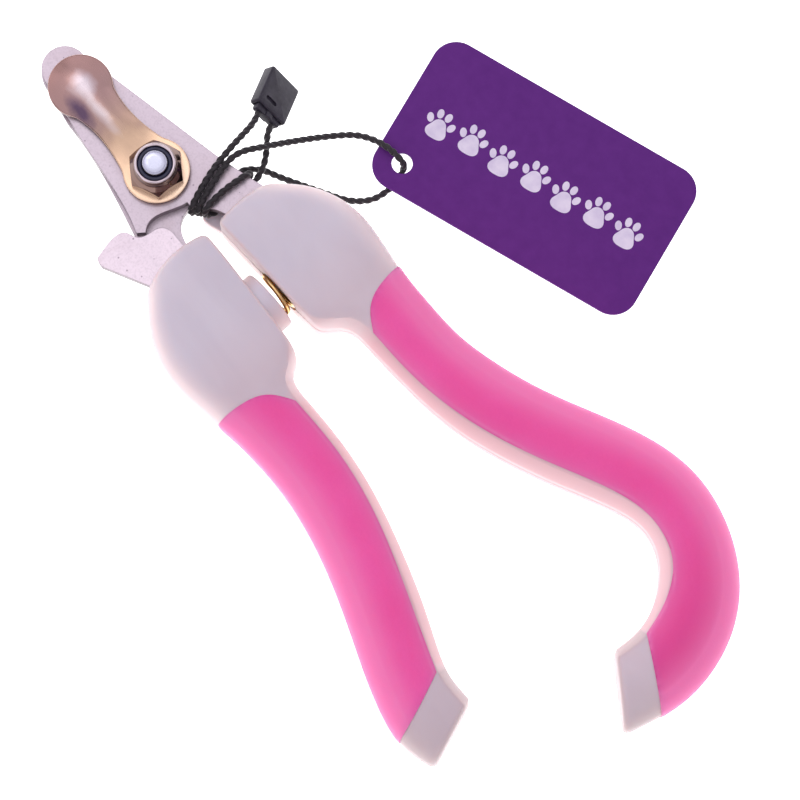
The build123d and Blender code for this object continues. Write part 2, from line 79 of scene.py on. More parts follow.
def make_camera():
    """Looks down on the clipper, with the picture's width turned from the clipper's length."""
    right = Vector((cos(VIEW_TURN), sin(VIEW_TURN), 0))
    down = Vector((sin(VIEW_TURN), -cos(VIEW_TURN), 0))
    back = Vector((0, 0, cos(VIEW_TILT))) + down * sin(VIEW_TILT)
    up = back.cross(right)
    data = bpy.data.cameras.new("camera")
    data.lens = CAMERA_LENS
    data.sensor_width = 36
    data.clip_start = 0.05
    camera = bpy.data.objects.new("camera", data)
    turn = Matrix((right, up, back)).transposed().to_4x4()
    camera.matrix_world = Matrix.Translation(LOOKS_AT + back * CAMERA_DISTANCE) @ turn
    bpy.context.scene.collection.objects.link(camera)
    bpy.context.scene.camera = camera


# ---- mesh helpers
def link(mesh, name):
    """A new object that shows the mesh."""
    made = bpy.data.objects.new(name, mesh)
    bpy.context.scene.collection.objects.link(made)
    return made


def mesh_from(name, points, faces, weld=0.0):
    """A new object from points and faces, with points this close made one and its normals consistent."""
    mesh = bpy.data.meshes.new(name)
    mesh.from_pydata([tuple(p) for p in points], [], faces)
    work = bmesh.new()
    work.from_mesh(mesh)
    if weld:
        bmesh.ops.remove_doubles(work, verts=work.verts, dist=weld)
    bmesh.ops.recalc_face_normals(work, faces=work.faces)
    work.to_mesh(mesh)
    work.free()
    return link(mesh, name)


def smooth(piece, angle=35):
    """Smooth shading, with edges sharper than the angle kept crisp."""
    mesh = piece.data
    mesh.polygons.foreach_set("use_smooth", [True] * len(mesh.polygons))
    mesh.set_sharp_from_angle(angle=radians(angle))
    return piece


def skin_rings(name, rings, closed_ends=True, round_trip=False, weld=0.0):
    """A surface through rings of equally many points, in order along the piece."""
    count, around = len(rings), len(rings[0])
    points = [p for ring in rings for p in ring]
    faces = []
    for i in range(count if round_trip else count - 1):
        here, there = i * around, (i + 1) % count * around
        for j in range(around):
            k = (j + 1) % around
            faces.append((here + j, here + k, there + k, there + j))
    if closed_ends and not round_trip:
        for start in (0, (count - 1) * around):
            middle = len(points)
            points.append(np.mean(points[start:start + around], axis=0))
            for j in range(around):
                faces.append((start + j, start + (j + 1) % around, middle))
    return mesh_from(name, points, faces, weld)


def natural_spline(knots, values, wanted):
    """Smooth curves through the values at the knots, read at the wanted places."""
    knots, values = np.asarray(knots, float), np.asarray(values, float)
    count, gap = len(knots), np.diff(knots)
    system = np.eye(count)
    target = np.zeros_like(values)
    slope = np.diff(values, axis=0) / gap[:, None]
    for i in range(1, count - 1):
        system[i, i - 1:i + 2] = gap[i - 1], 2 * (gap[i - 1] + gap[i]), gap[i]
        target[i] = 6 * (slope[i] - slope[i - 1])
    bend = np.linalg.solve(system, target)
    i = np.clip(np.searchsorted(knots, wanted, side="right") - 1, 0, count - 2)
    wide, after = gap[i][:, None], (wanted - knots[i])[:, None]
    before = wide - after
    return (
        (bend[i] * before**3 + bend[i + 1] * after**3) / (6 * wide)
        + (values[i] / wide - bend[i] * wide / 6) * before
        + (values[i + 1] / wide - bend[i + 1] * wide / 6) * after
    )


def run_lengths(line):
    """How far along a line each of its points is."""
    return np.concatenate([[0], np.cumsum(np.linalg.norm(np.diff(line, axis=0), axis=1))])


def through(points, steps):
    """A smooth open line through given points, with that many steps."""
    points = np.asarray(points, float)
    along = run_lengths(points)
    return natural_spline(along, points, np.linspace(0, along[-1], steps))


def evenly(line, step):
    """The line again, with its points one step apart."""
    along = run_lengths(line)
    wanted = np.linspace(0, along[-1], int(along[-1] / step) + 2)
    return np.stack([np.interp(wanted, along, line[:, k]) for k in range(3)], axis=1)


def frames_along(line):
    """Two directions across a line at each of its points, which turn as little as they can."""
    along = np.gradient(line, axis=0)
    along /= np.linalg.norm(along, axis=1)[:, None]
    side = np.cross(along[0], (0.3, 0.2, 1.0))
    sides = []
    for direction in along:
        side = side - direction * side.dot(direction)
        side = side / np.linalg.norm(side)
        sides.append(side)
    sides = np.array(sides)
    return sides, np.cross(along, sides)


def once_round(count):
    """Angles evenly spaced once round."""
    return np.arange(count) / count * 2 * pi


def tube(name, line, reach, twist=0.0):
    """A skin round a line, from its section's reach at each angle and its twist at each step."""
    side, over = frames_along(line)
    angle = once_round(len(reach))
    rings = []
    for i, middle in enumerate(line):
        turned = angle + i * twist
        rings.append(
            middle
            + side[i] * (reach * np.cos(turned))[:, None]
            + over[i] * (reach * np.sin(turned))[:, None]
        )
    return skin_rings(name, rings)


def applied(piece):
    """Makes the piece's modifiers part of its mesh."""
    bpy.context.view_layer.update()
    seen = piece.evaluated_get(bpy.context.evaluated_depsgraph_get())
    mesh = bpy.data.meshes.new_from_object(seen)
    old = piece.data
    piece.modifiers.clear()
    piece.data = mesh
    mesh.name = piece.name
    bpy.data.meshes.remove(old)


def drop(piece):
    """Deletes a cutter or a piece that is used up."""
    mesh = piece.data
    bpy.data.objects.remove(piece)
    bpy.data.meshes.remove(mesh)


def carve(piece, tool, how, keep=False):
    """DIFFERENCE, INTERSECT or UNION of a piece with a tool, which goes unless it is kept."""
    cut = piece.modifiers.new(how, "BOOLEAN")
    cut.operation = how
    cut.solver = "EXACT"
    cut.object = tool
    applied(piece)
    if not keep:
        drop(tool)


def copy_of(piece, name):
    """A second object with a mesh of its own."""
    made = piece.copy()
    made.data = piece.data.copy()
    made.name = name
    bpy.context.scene.collection.objects.link(made)
    return made


# ---- the tag's cord
CORD_DIAMETER = 1.2 * MM
CORD_PITCH = 3.2 * MM
CORD_STEP = 0.13 * MM
ROUTE = [
    (3.87, 22.33, 8.80), (4.88, 20.48, 9.72), (5.5, 17.2, 11.0), (6.1, 13.4, 12.1), (7.1, 7.6, 12.0),
    (9.85, -0.15, 11.9), (10.15, -0.1, 6.7), (10.3, 6.2, 6.3), (9.0, 12.6, 5.2), (11.4, 16.2, 3.2),
    (14.4, 17.9, 1.5), (17.7, 19.8, 0.9), (22.2, 22.3, 0.75), (27.0, 24.9, 0.8), (29.8, 28.2, 0.85),
    (30.5, 31.6, 0.9), (30.2, 34.6, 0.95), (29.3, 37.3, 1.1), (28.7, 37.4, 4.4), (25.1, 37.3, 4.3),
    (21.6, 36.4, 3.4), (18.3, 34.4, 2.8), (15.9, 31.3, 2.9), (13.6, 27.4, 4.3), (11.6, 23.2, 6.6),
    (9.8, 19.0, 9.2), (7.5, 13.8, 11.9), (8.1, 9.2, 12.1), (10.85, 0.75, 11.9), (11.15, 0.8, 6.7),
    (11.5, 6.6, 6.5), (11.9, 13.2, 6.6), (12.1, 13.2, 11.9), (11.4, 6.5, 11.95), (11.85, 1.6, 11.9),
    (12.15, 1.65, 6.7), (13.2, 6.4, 6.5), (13.3, 12.6, 6.3), (12.2, 16.2, 6.3), (9.9, 19.2, 6.8),
    (7.86, 20.94, 7.37), (6.85, 22.79, 6.45),
]


def route_line():
    """The cord's middle line, read from one smooth spline with the route as its control points."""
    data = bpy.data.curves.new("route", "CURVE")
    data.dimensions = "3D"
    data.resolution_u = 16
    spline = data.splines.new("NURBS")
    spline.points.add(len(ROUTE) - 1)
    for point, given in zip(spline.points, ROUTE):
        point.co = (*place(*given), 1)
    spline.order_u = 3
    spline.use_endpoint_u = True
    holder = bpy.data.objects.new("route", data)
    mesh = bpy.data.meshes.new_from_object(holder)
    line = np.array([v.co for v in mesh.vertices], float)
    bpy.data.objects.remove(holder)
    bpy.data.curves.remove(data)
    bpy.data.meshes.remove(mesh)
    return line


def make_cord():
    """Two waxed plies twisted round each other, as one surface."""
    line = evenly(route_line(), CORD_STEP)
    step = np.linalg.norm(line[1] - line[0])
    plies = 0.80 + 0.34 * np.abs(np.cos(once_round(20))) ** 1.3
    cord = tube("cord", line, CORD_DIAMETER / 2 * plies, step / CORD_PITCH * 2 * pi)
    return smooth(cord, 60), line, run_lengths(line)[-1]


# ---- handles
# Each station is x and y facing the other handle, x and y outside, and the height there.
STRAIGHT_STATIONS = [
    (15.4, -1.1, 16.0, -17.0, 13.6), (20, -1.3, 20, -20.2, 15.6), (26, -1.7, 26, -23.4, 16.0),
    (34, -2.3, 34, -24.8, 16.0), (39.5, -2.75, 39.5, -24.4, 16.0), (42.6, -3.05, 42.4, -24.0, 15.8),
    (44.4, -3.5, 44.2, -23.75, 15.6), (45.7, -4.6, 45.6, -23.55, 15.4), (46.8, -6.2, 46.7, -23.4, 15.2),
    (48.4, -7.2, 48.2, -23.2, 15.1), (52, -7.65, 51.5, -22.95, 15.0), (62, -8.1, 60, -22.9, 15.2),
    (74, -10.0, 70.5, -24.4, 15.8), (86, -13.5, 81, -27.4, 16.0), (98, -18.0, 92.5, -31.9, 16.0),
    (107, -21.8, 103, -36.0, 15.6), (111.6, -22.6, 113.0, -38.0, 15.0), (115.6, -22.6, 120.6, -36.4, 14.0),
]
HOOKED_STATIONS = [
    (15.4, 1.6, 15.4, 14.6, 13.6), (20, 1.7, 20, 19.2, 15.6), (26, 1.9, 26, 22.7, 16.0),
    (34, 2.0, 34, 24.0, 16.0), (38.6, 2.1, 38.6, 23.5, 16.0), (41.6, 2.3, 41.4, 23.1, 15.8),
    (43.4, 2.7, 43.2, 22.8, 15.6), (44.7, 3.8, 44.6, 22.6, 15.4), (45.9, 5.4, 45.8, 22.4, 15.3),
    (47.4, 6.7, 47.3, 22.2, 15.1), (51.5, 7.5, 51, 22.0, 15.0), (60, 7.7, 60, 21.9, 15.2),
    (72, 8.7, 69, 23.3, 15.6), (84, 11.8, 79, 26.3, 16.0), (95, 16.2, 89.5, 30.9, 16.0),
    (104, 20.4, 99.5, 35.2, 16.0), (112.5, 22.9, 112.0, 37.6, 16.0), (120.0, 20.3, 127.0, 33.6, 16.0),
    (124.6, 14.6, 138.0, 23.3, 16.0), (126.3, 8.8, 142.1, 8.5, 15.4), (126.0, 3.4, 139.3, -6.0, 14.0),
]
# A grip's edge on the core: smooth lines end to end, each with its steps, then the corners that close it.
STRAIGHT_GRIP = (
    [
        ([(44.6, -27), (44.6, -23), (45.0, -19.5), (47.0, -13.6), (51.5, -10.0)], 60),
        ([(51.5, -10.0), (64, -10.5), (80, -13.9), (96, -19.9), (107.5, -24.4)], 120),
        ([(107.5, -24.4), (110.5, -32), (113.4, -42)], 40),
    ],
    [(44.6, -42)],
)
HOOKED_GRIP = (
    [
        ([(44.6, 27), (44.5, 23), (45.0, 19.0), (47.4, 12.6), (51.5, 9.6)], 60),
        ([(51.5, 9.6), (64, 9.8), (78, 12.4), (92, 17.7), (103, 22.7), (112.5, 25.0), (121.5, 22.3),
          (126.6, 14.8), (128.1, 9.7)], 180),
        ([(128.1, 9.7), (147, -1.5)], 2),
    ],
    [(147, 42), (44.6, 42)],
)
GRIP_WALL = 2.4
GRIP_PROUD = 0.25
GRIP_EDGE = 0.7
HANDLE_STEP = 0.6
END_ROUNDING = 1.5
SEAM_GROOVE = 0.16
SEAM_GAP = 0.02
# The bolster turns into the grip between these distances along the handle's middle line.
NECK = (26, 31)
# Corner radii across and up, at the bolster and at the grip, and the smallest that they may be.
INNER_CORNERS = ((1.2, 1.2), (2.5, 4.1))
INNER_LEAST = 0.4
OUTER_CORNERS = ((6.6, 6.2), (9.0, 6.2))
OUTER_LEAST = 0.6
# How much the top is crowned, at the bolster and at the grip, and how flat the grip's inner corner is.
CROWNS = (0.55, 0.90)
INNER_FLATNESS = 0.7
# The bolster's front face is bowed forward, which fades out by this far back.
BOW_REACH = 14.0
LIP_PLAN = [(19, 2.7), (15, 1.75), (12.3, 1.05), (11.35, 1.3), (11.1, 2.3), (11.2, 6.9), (19, 7)]
LIP_LEVELS = [(1.8, 0.96), (1.95, 1.0), (4.6, 1.0), (4.95, 0.985), (5.18, 0.95), (5.3, 0.88)]
BOSS_PROFILE = [
    (4.8, -5.0), (4.8, -0.25), (5.0, 0.0), (5.25, 0.2), (5.85, 0.2), (6.1, 0.0), (6.2, -0.35),
    (6.2, -3.2), (6.5, -3.9), (7.2, -4.6), (7.2, -5.2), (5.4, -5.2),
]
LATCH_SLOT = [(27.0, -4.0), (8.0, -4.0), (8.0, -30.0), (24.0, -30.0), (27.0, -16.0)]
LATCH_SLOT_HEIGHTS = (7.6, 10.32)


def distance_to(points, line):
    """How far plan points are from a plan line made of short pieces."""
    nearest = np.full(len(points), 1e9)
    for a, b in zip(line[:-1], line[1:]):
        run = b - a
        t = np.clip(((points - a) @ run) / (run @ run), 0, 1)
        nearest = np.minimum(nearest, np.linalg.norm(points - a - t[:, None] * run, axis=1))
    return nearest


def ease(x, low, high):
    """From 0 at low to 1 at high, with no slope at either end."""
    t = np.clip((x - low) / (high - low), 0, 1)
    return t * t * (3 - 2 * t)


def between(a, b, share):
    """The value that share of the way from a to b."""
    return a + (b - a) * share


def corner(radius_u, radius_v, slope, steps, flatness=0.0):
    """An elliptical corner that starts at a slope, as distances from its centre.

    A flatness of 1 makes it a plain chamfer between the same two ends."""
    start = np.arctan(slope * radius_u / radius_v)
    turn = np.linspace(start, pi / 2, steps)
    u, v = radius_u * np.sin(turn), radius_v * np.cos(turn)
    straight = np.linspace(0, 1, steps)
    u = between(u, between(u[0], u[-1], straight), flatness)
    v = between(v, between(v[0], v[-1], straight), flatness)
    return u, v


def section(width, height, inner_radius, outer_radius, crown, groove, flatness):
    """One cross-section: u from the inner side and v from the parting plane, once round."""
    outer_u, outer_v = outer_radius
    outer_v = min(outer_v, height / 2 - crown - 0.7)
    inner_u, inner_v = inner_radius
    half = (width - inner_u - outer_u) / 2
    for _ in range(4):
        slope = 2 * crown / half
        in_u, in_v = corner(inner_u, inner_v, slope, 13, flatness)
        out_u, out_v = corner(outer_u, outer_v, slope, 15)
        first = inner_u - in_u[0]
        last = width - outer_u + out_u[0]
        half = (last - first) / 2
    top_u = np.linspace(first, last, 19)
    top_v = height / 2 - crown * ((top_u - (first + last) / 2) / half) ** 2
    edge_v = height / 2 - crown
    in_centre = edge_v - in_v[0]
    out_centre = edge_v - out_v[0]
    upper_u = np.concatenate([(inner_u - in_u)[::-1], top_u[1:-1], width - outer_u + out_u])
    upper_v = np.concatenate([(in_centre + in_v)[::-1], top_v[1:-1], out_centre + out_v])
    seam = np.array([0.35, 0.2, 0.07])
    seam_in = np.array([0, 0.1, 1]) * groove
    rise = np.array([0.8, 0.5, 0.2])
    outer_side = np.concatenate([seam[0] + (out_centre - seam[0]) * rise, seam])
    inner_side = np.concatenate([seam[::-1], seam[0] + (in_centre - seam[0]) * rise[::-1]])
    flat = np.zeros(len(rise))
    u = np.concatenate([seam_in[::-1], flat, upper_u, flat + width, width - seam_in])
    v = np.concatenate([inner_side, upper_v, outer_side])
    u = np.concatenate([u, u[::-1]])
    v = np.concatenate([v, -v[::-1]])
    return u, v


def handle_rings(stations, inset=0.0, proud=None, groove=0.0, bow=0.0):
    """The handle as rings, in mm about the pivot: square inside, and well rounded outside."""
    table = np.array(stations, float)
    knots = run_lengths((table[:, 0:2] + table[:, 2:4]) / 2)
    length = knots[-1]
    turn = np.linspace(0, pi / 2, 7)
    into = END_ROUNDING * (1 - np.cos(turn)) + inset
    shrink = END_ROUNDING * (1 - np.sin(turn))
    end = END_ROUNDING + inset
    body = np.arange(end + HANDLE_STEP, length - end - HANDLE_STEP / 2, HANDLE_STEP)
    wanted = np.concatenate([into, body, (length - into)[::-1]])
    inward = np.concatenate([shrink, np.zeros(len(body)), shrink[::-1]]) + inset
    rings = []
    for s, d, row in zip(wanted, inward, natural_spline(knots, table, wanted)):
        inner, outer, height = row[0:2], row[2:4], min(row[4], HANDLE_HEIGHT)
        width = np.linalg.norm(outer - inner)
        neck = ease(s, *NECK)
        inner_radius = [max(between(a, b, neck) - d, INNER_LEAST) for a, b in zip(*INNER_CORNERS)]
        outer_radius = [max(between(a, b, neck) - d, OUTER_LEAST) for a, b in zip(*OUTER_CORNERS)]
        u, v = section(
            width - 2 * d, height - 2 * d, inner_radius, outer_radius, between(*CROWNS, neck), groove,
            INNER_FLATNESS * neck,
        )
        xy = inner + (outer - inner) / width * (u + d)[:, None]
        depth = ease(BOW_REACH - s, 0, BOW_REACH) * bow
        xy[:, 0] -= depth * (1 - (2 * (u + d) / width - 1) ** 2)
        rings.append(np.column_stack([xy, v + MIDDLE_Z]))
    rings = np.array(rings)
    if proud is not None:
        along = np.gradient(rings, axis=0)
        around = np.roll(rings, -1, axis=1) - np.roll(rings, 1, axis=1)
        normal = np.cross(along, around)
        normal /= np.linalg.norm(normal, axis=2)[:, :, None] + 1e-12
        centre = rings.mean(axis=1, keepdims=True)
        normal *= np.sign(((rings - centre) * normal).sum(axis=2))[:, :, None]
        rings = rings + normal * proud(rings)[:, :, None]
    return rings


def closed_form(name, rings):
    """The rings as a closed surface, with the flat ends filled by ever smaller rings."""
    first, last = rings[0].mean(axis=0), rings[-1].mean(axis=0)
    start = [first + (rings[0] - first) * k for k in (0.25, 0.6, 0.9)]
    finish = [last + (rings[-1] - last) * k for k in (0.9, 0.6, 0.25)]
    return skin_rings(name, list(np.concatenate([start, rings, finish]) * MM + (PIVOT.x, PIVOT.y, 0)))


def prism(name, plan, low, high):
    """A plan outline, in mm about the pivot, drawn up between two heights."""
    bottom = np.array([place(x, y, low) for x, y in plan])
    top = np.array([place(x, y, high) for x, y in plan])
    count = len(plan)
    faces = [tuple(range(count)), tuple(range(count, 2 * count))]
    for i in range(count):
        k = (i + 1) % count
        faces.append((i, k, count + k, count + i))
    return mesh_from(name, np.concatenate([bottom, top]), faces)


def cylinder_tool(name, start, radius, length, axis="Z"):
    """A round cutter from its start along Y or Z, in mm about the pivot."""
    rings = []
    for reach in (0, length):
        ring = [(radius * cos(a), radius * sin(a), reach) for a in once_round(72)]
        if axis == "Y":
            ring = [(x, z, y) for x, y, z in ring]
        rings.append([place(*(np.array(start) + point)) for point in ring])
    return skin_rings(name, rings)


def handle_pieces(side, stations, plan, bow):
    """The soft grip and the hard core of a handle, as two closed surfaces."""
    lines, corners = plan
    edge_lines = [through(points, steps) for points, steps in lines]
    line = np.concatenate([edge_lines[0]] + [later[1:] for later in edge_lines[1:]])
    outline = np.concatenate([line, np.array(corners, float)])

    def proud(rings):
        flat = rings[:, :, :2].reshape(-1, 2)
        away = distance_to(flat, line).reshape(rings.shape[:2])
        edge = np.clip(away / GRIP_EDGE, 0, 1)
        return GRIP_PROUD * np.sqrt(1 - (1 - edge) ** 2) - GRIP_PROUD

    def sunk(rings):
        return np.full(rings.shape[:2], -GRIP_PROUD)

    grip = closed_form(side + "_grip", handle_rings(stations, proud=proud, bow=bow))
    plan_tool = prism("plan", outline, BELOW_ALL, ABOVE_ALL)
    hollow = closed_form("hollow", handle_rings(stations, inset=GRIP_WALL, bow=bow))
    carve(grip, plan_tool, "INTERSECT")
    carve(grip, hollow, "DIFFERENCE")
    core = closed_form(side + "_core", handle_rings(stations, proud=sunk, groove=SEAM_GROOVE, bow=bow))
    carve(core, grip, "DIFFERENCE", keep=True)
    return grip, core


def halves(core, side):
    """The core's upper and lower shell, a hair apart at the parting plane."""
    shells = []
    top = ("top_shell", MIDDLE_Z + SEAM_GAP / 2, ABOVE_ALL)
    bottom = ("bottom_shell", BELOW_ALL, MIDDLE_Z - SEAM_GAP / 2)
    for name, low, high in (top, bottom):
        box = prism("box", [(0, -60), (160, -60), (160, 60), (0, 60)], low, high)
        shell = copy_of(core, f"{side}_{name}_look")
        carve(shell, box, "INTERSECT")
        shells.append(shell)
    drop(core)
    return shells


def make_lip():
    """The rounded lip of the lower shell that reaches forward under the tang."""
    plan = through(LIP_PLAN, 40)
    middle = plan.mean(axis=0)
    rings = [[place(x, y, z) for x, y in middle + (plan - middle) * keep] for z, keep in LIP_LEVELS]
    return skin_rings("lip", np.array(rings))


def make_boss():
    """The raised collar that the spring sits in, turned about the spring's axis."""
    rings = []
    for radius, y in BOSS_PROFILE:
        ring = [place(SPRING_X + radius * cos(a), y, MIDDLE_Z + radius * sin(a)) for a in once_round(96)]
        rings.append(ring)
    return skin_rings("boss", np.array(rings), round_trip=True)


# ---- head
# The nail guard, along its middle line from the pivot: a spoon, a narrow neck and a hub round the bolt.
SPOON_X = -22.2
SPOON_RADIUS = 6.3
HUB_RADIUS = 6.5
NECK_ENDS = (-18.0, -4.0)
NECK_PLACES = [-18.0, -15.5, -11.5, -7.5, -4.0]
NECK_HALF_WIDTHS = [4.70, 4.20, 3.95, 4.35, 5.10]
GUARD_TOP = 12.03
GUARD_UNDER = 10.93
GUARD_HOLE = 3.05
DOME_RISE = 1.35
EDGE_ROUNDING = 0.28
# The lock nut and the bolt, as heights and radii.
NUT_TURN = radians(24)
NUT_FLATS = 9.8
NUT_BASE = 12.06
NUT_BORE = 3.02
COLLAR = [
    (15.8, 4.19), (17.0, 4.18), (17.45, 4.15), (17.8, 4.04), (18.0, 3.88), (18.06, 3.72), (18.02, 3.56),
    (17.9, 3.42), (17.6, 3.36),
]
NUT_INSIDE = [(17.5, 3.5), (16.2, 3.5), (16.1, NUT_BORE), (NUT_BASE, NUT_BORE)]
INSERT_PROFILE = [
    (16.26, 3.02), (17.2, 2.6), (17.45, 2.52), (17.6, 2.6), (17.68, 2.8), (17.66, 3.1), (17.56, 3.3),
    (17.4, 3.46), (16.26, 3.46),
]
HEAD_FLATS = 10.0
HEAD_TOP = 4.68
SHANK_RADIUS = 2.98
THREAD = (12.0, 16.9)
THREAD_PITCH = 1.0
THREAD_DEPTH = 0.35
BOLT_END = [
    (17.1, 2.62), (17.3, 2.46), (17.9, 2.44), (18.2, 2.42), (18.42, 2.34), (18.5, 2.22), (18.5, 2.16),
    (18.44, 2.10), (18.5, 2.02), (18.56, 1.9), (18.57, 1.2), (18.57, 0.5),
]
SPRING_TURNS = 7.0
SPRING_CLOSED = 0.8
SPRING_ENDS = (-3.45, 7.45)
SPRING_RADIUS = 4.0
WIRE_RADIUS = 0.5


def guard_half_width(x):
    """Half the neck's width at a place along it."""
    return natural_spline(NECK_PLACES, np.array(NECK_HALF_WIDTHS)[:, None], np.array([x]))[0, 0]


def guard_outline():
    """The dog-bone outline, with the point on the lever's middle line that each point belongs to."""
    outline, feet = [], []

    def neck(first, last, side):
        for x in np.linspace(first, last, 46)[1:-1]:
            outline.append((x, side * guard_half_width(x)))
            feet.append((x, 0))

    spoon_end, hub_end = NECK_ENDS
    spoon_turn = np.arccos((spoon_end - SPOON_X) / SPOON_RADIUS)
    for a in np.linspace(spoon_turn, 2 * pi - spoon_turn, 90):
        outline.append((SPOON_X + SPOON_RADIUS * cos(a), SPOON_RADIUS * sin(a)))
        feet.append((min(SPOON_X + max(0.0, 3.5 * cos(a)), spoon_end), 0))
    neck(spoon_end, hub_end, -1)
    hub_turn = np.arccos(hub_end / HUB_RADIUS)
    for a in np.linspace(-hub_turn, hub_turn, 90):
        outline.append((HUB_RADIUS * cos(a), HUB_RADIUS * sin(a)))
        feet.append((min(0.0, HUB_RADIUS * cos(a)) * 0.6, 0))
    neck(hub_end, spoon_end, 1)
    return np.array(outline), np.array(feet)


def make_guard():
    """A pressed lever: flat round the bolt, ridged along the neck, domed at the spoon end."""
    outline, feet = guard_outline()
    for _ in range(6):
        outline = (np.roll(outline, 1, axis=0) + 2 * outline + np.roll(outline, -1, axis=0)) / 4
    spread = np.concatenate([np.linspace(0, 0.9, 16), [0.93, 0.96, 0.98, 0.992, 1.0]])

    def surface(t):
        flat = feet + (outline - feet) * t
        away = np.linalg.norm(outline - feet, axis=1) * (1 - t)
        lift = DOME_RISE * ease(-flat[:, 0], 4.5, 13.0)
        rise = lift * (1 - t**2) ** 1.2
        near = np.clip(EDGE_ROUNDING - away, 0, EDGE_ROUNDING)
        fall = EDGE_ROUNDING - np.sqrt(EDGE_ROUNDING**2 - near**2)
        return flat, rise, fall

    rings = []
    for t in spread:
        flat, rise, fall = surface(t)
        rings.append([place(x, y, GUARD_TOP + r - f) for (x, y), r, f in zip(flat, rise, fall)])
    for t in spread[::-1]:
        flat, rise, fall = surface(t)
        rings.append([place(x, y, GUARD_UNDER + 0.8 * r + f) for (x, y), r, f in zip(flat, rise, fall)])
    guard = skin_rings("nail_guard_look", np.array(rings), closed_ends=False, weld=0.004 * MM)
    carve(guard, cylinder_tool("hole", (0, 0, 5), GUARD_HOLE, 12), "DIFFERENCE")
    return smooth(guard, 40)


def hex_reach(angle, across_flats, turn):
    """How far a hexagon reaches at each angle."""
    within = np.mod(angle - turn, pi / 3) - pi / 6
    return across_flats / 2 / np.cos(within)


def cone_levels(low, high, wide, narrow, steps):
    """A shoulder from one limit to another, in steps so that the hexagon's corners curve."""
    return [(low + (high - low) * k / steps, wide + (narrow - wide) * k / steps) for k in range(steps + 1)]


def ring_at(angle, reach, z):
    """A level ring about the pivot's axis, with one reach or a reach for each angle."""
    return [place(r * cos(a), r * sin(a), z) for r, a in zip(np.broadcast_to(reach, len(angle)), angle)]


def make_nut():
    """Chamfered hexagon, and a crown collar rolled over the nylon ring."""
    levels = cone_levels(NUT_BASE, 12.35, 5.2, 5.7, 6)
    levels += cone_levels(13.3, 14.6, 5.7, 5.0, 12)
    levels += cone_levels(14.7, 15.7, 4.93, 4.25, 8)
    angle = once_round(240)
    sides = hex_reach(angle, NUT_FLATS, NUT_TURN)
    rings = [ring_at(angle, np.minimum(sides, limit), z) for z, limit in levels + COLLAR]
    rings += [ring_at(angle, reach, z) for z, reach in NUT_INSIDE]
    return smooth(skin_rings("lock_nut_look", np.array(rings), round_trip=True), 32)


def make_insert():
    """The nylon ring in the nut's collar, with its mouth bulged round the bolt."""
    rings = [ring_at(once_round(96), reach, z) for z, reach in INSERT_PROFILE]
    return smooth(skin_rings("nut_insert_look", np.array(rings), round_trip=True), 50)


def thread_reach(angle, z):
    """The radius of a V thread at each angle, at one height."""
    phase = np.mod(z / THREAD_PITCH - angle / (2 * pi), 1.0)
    return SHANK_RADIUS - THREAD_DEPTH * (1 - np.abs(2 * phase - 1))


def make_bolt():
    """Hexagon head with chamfered corners, shank, and a threaded end with a chamfer."""
    angle = once_round(120)
    sides = hex_reach(angle, HEAD_FLATS, 0.0)
    levels = [(0.68, 4.6)] + cone_levels(0.72, 1.25, 4.75, 5.85, 8) + [(4.5, 5.85), (HEAD_TOP, 5.7)]
    rings = [ring_at(angle, np.minimum(sides, limit), z) for z, limit in levels]
    rings += [ring_at(angle, SHANK_RADIUS, z) for z in (HEAD_TOP, THREAD[0])]
    rings += [ring_at(angle, thread_reach(angle, z), z) for z in np.arange(*THREAD, 0.1)]
    rings += [ring_at(angle, reach, z) for z, reach in BOLT_END]
    return smooth(skin_rings("pivot_bolt_look", np.array(rings)), 40)


def make_spring():
    """Open coil with closed ends, lying along Y between the bolsters."""
    turned = np.linspace(0, SPRING_TURNS, 640)
    climb = np.clip((turned - SPRING_CLOSED) / (SPRING_TURNS - 2 * SPRING_CLOSED), 0, 1)
    y = between(*SPRING_ENDS, climb) + np.linspace(0, 0.02, len(turned))
    x = SPRING_X + SPRING_RADIUS * np.cos(turned * 2 * pi)
    z = MIDDLE_Z + SPRING_RADIUS * np.sin(turned * 2 * pi)
    line = np.array([place(*point) for point in zip(x, y, z)])
    return smooth(tube("return_spring_look", line, np.full(16, WIRE_RADIUS * MM)), 50)


# ---- tag and seal
TAG_TURN = radians(18)
TAG_DROP = 0.035
TAG_X = Vector((cos(TAG_TURN), sin(TAG_TURN), -TAG_DROP)).normalized()
TAG_Z = Vector((cos(TAG_TURN) * TAG_DROP, sin(TAG_TURN) * TAG_DROP, 1)).normalized()
TAG_PLANE = (place(47.5, 54.7, 1.5), TAG_X, TAG_Z.cross(TAG_X), TAG_Z)
TAG_WIDTH = 58.0
TAG_HEIGHT = 32.5
HOLE_INSET = 5.6
HOLE_RADIUS = 2.05
PAW_COUNT = 7
PAW_PITCH = 7.0
PAW_SIZE = 6.4
PAW_STEP = 0.3
PRINT_HEIGHTS = (0.38, 0.43)
SEAL_X = Vector((0.784, 0.1225, -0.615)).normalized()
SEAL_Z = Vector((0.446, 0.585, 0.686)).normalized()
SEAL_PLANE = (place(3.05, 26.8, 5.5), SEAL_X, SEAL_Z.cross(SEAL_X), SEAL_Z)


def on(plane, x, y, z):
    """A point given in mm on a leaning plane."""
    origin, right, up, out = plane
    return origin + (right * x + up * y + out * z) * MM


def rounded_outline(width, height, radius, steps, middle=(0, 0)):
    """A rectangle with round corners, once round."""
    points = []
    for index, (sx, sy) in enumerate(((1, 1), (-1, 1), (-1, -1), (1, -1))):
        for k in range(steps + 1):
            a = (index + k / steps) * pi / 2
            points.append((
                middle[0] + sx * (width / 2 - radius) + radius * cos(a),
                middle[1] + sy * (height / 2 - radius) + radius * sin(a),
            ))
    return points


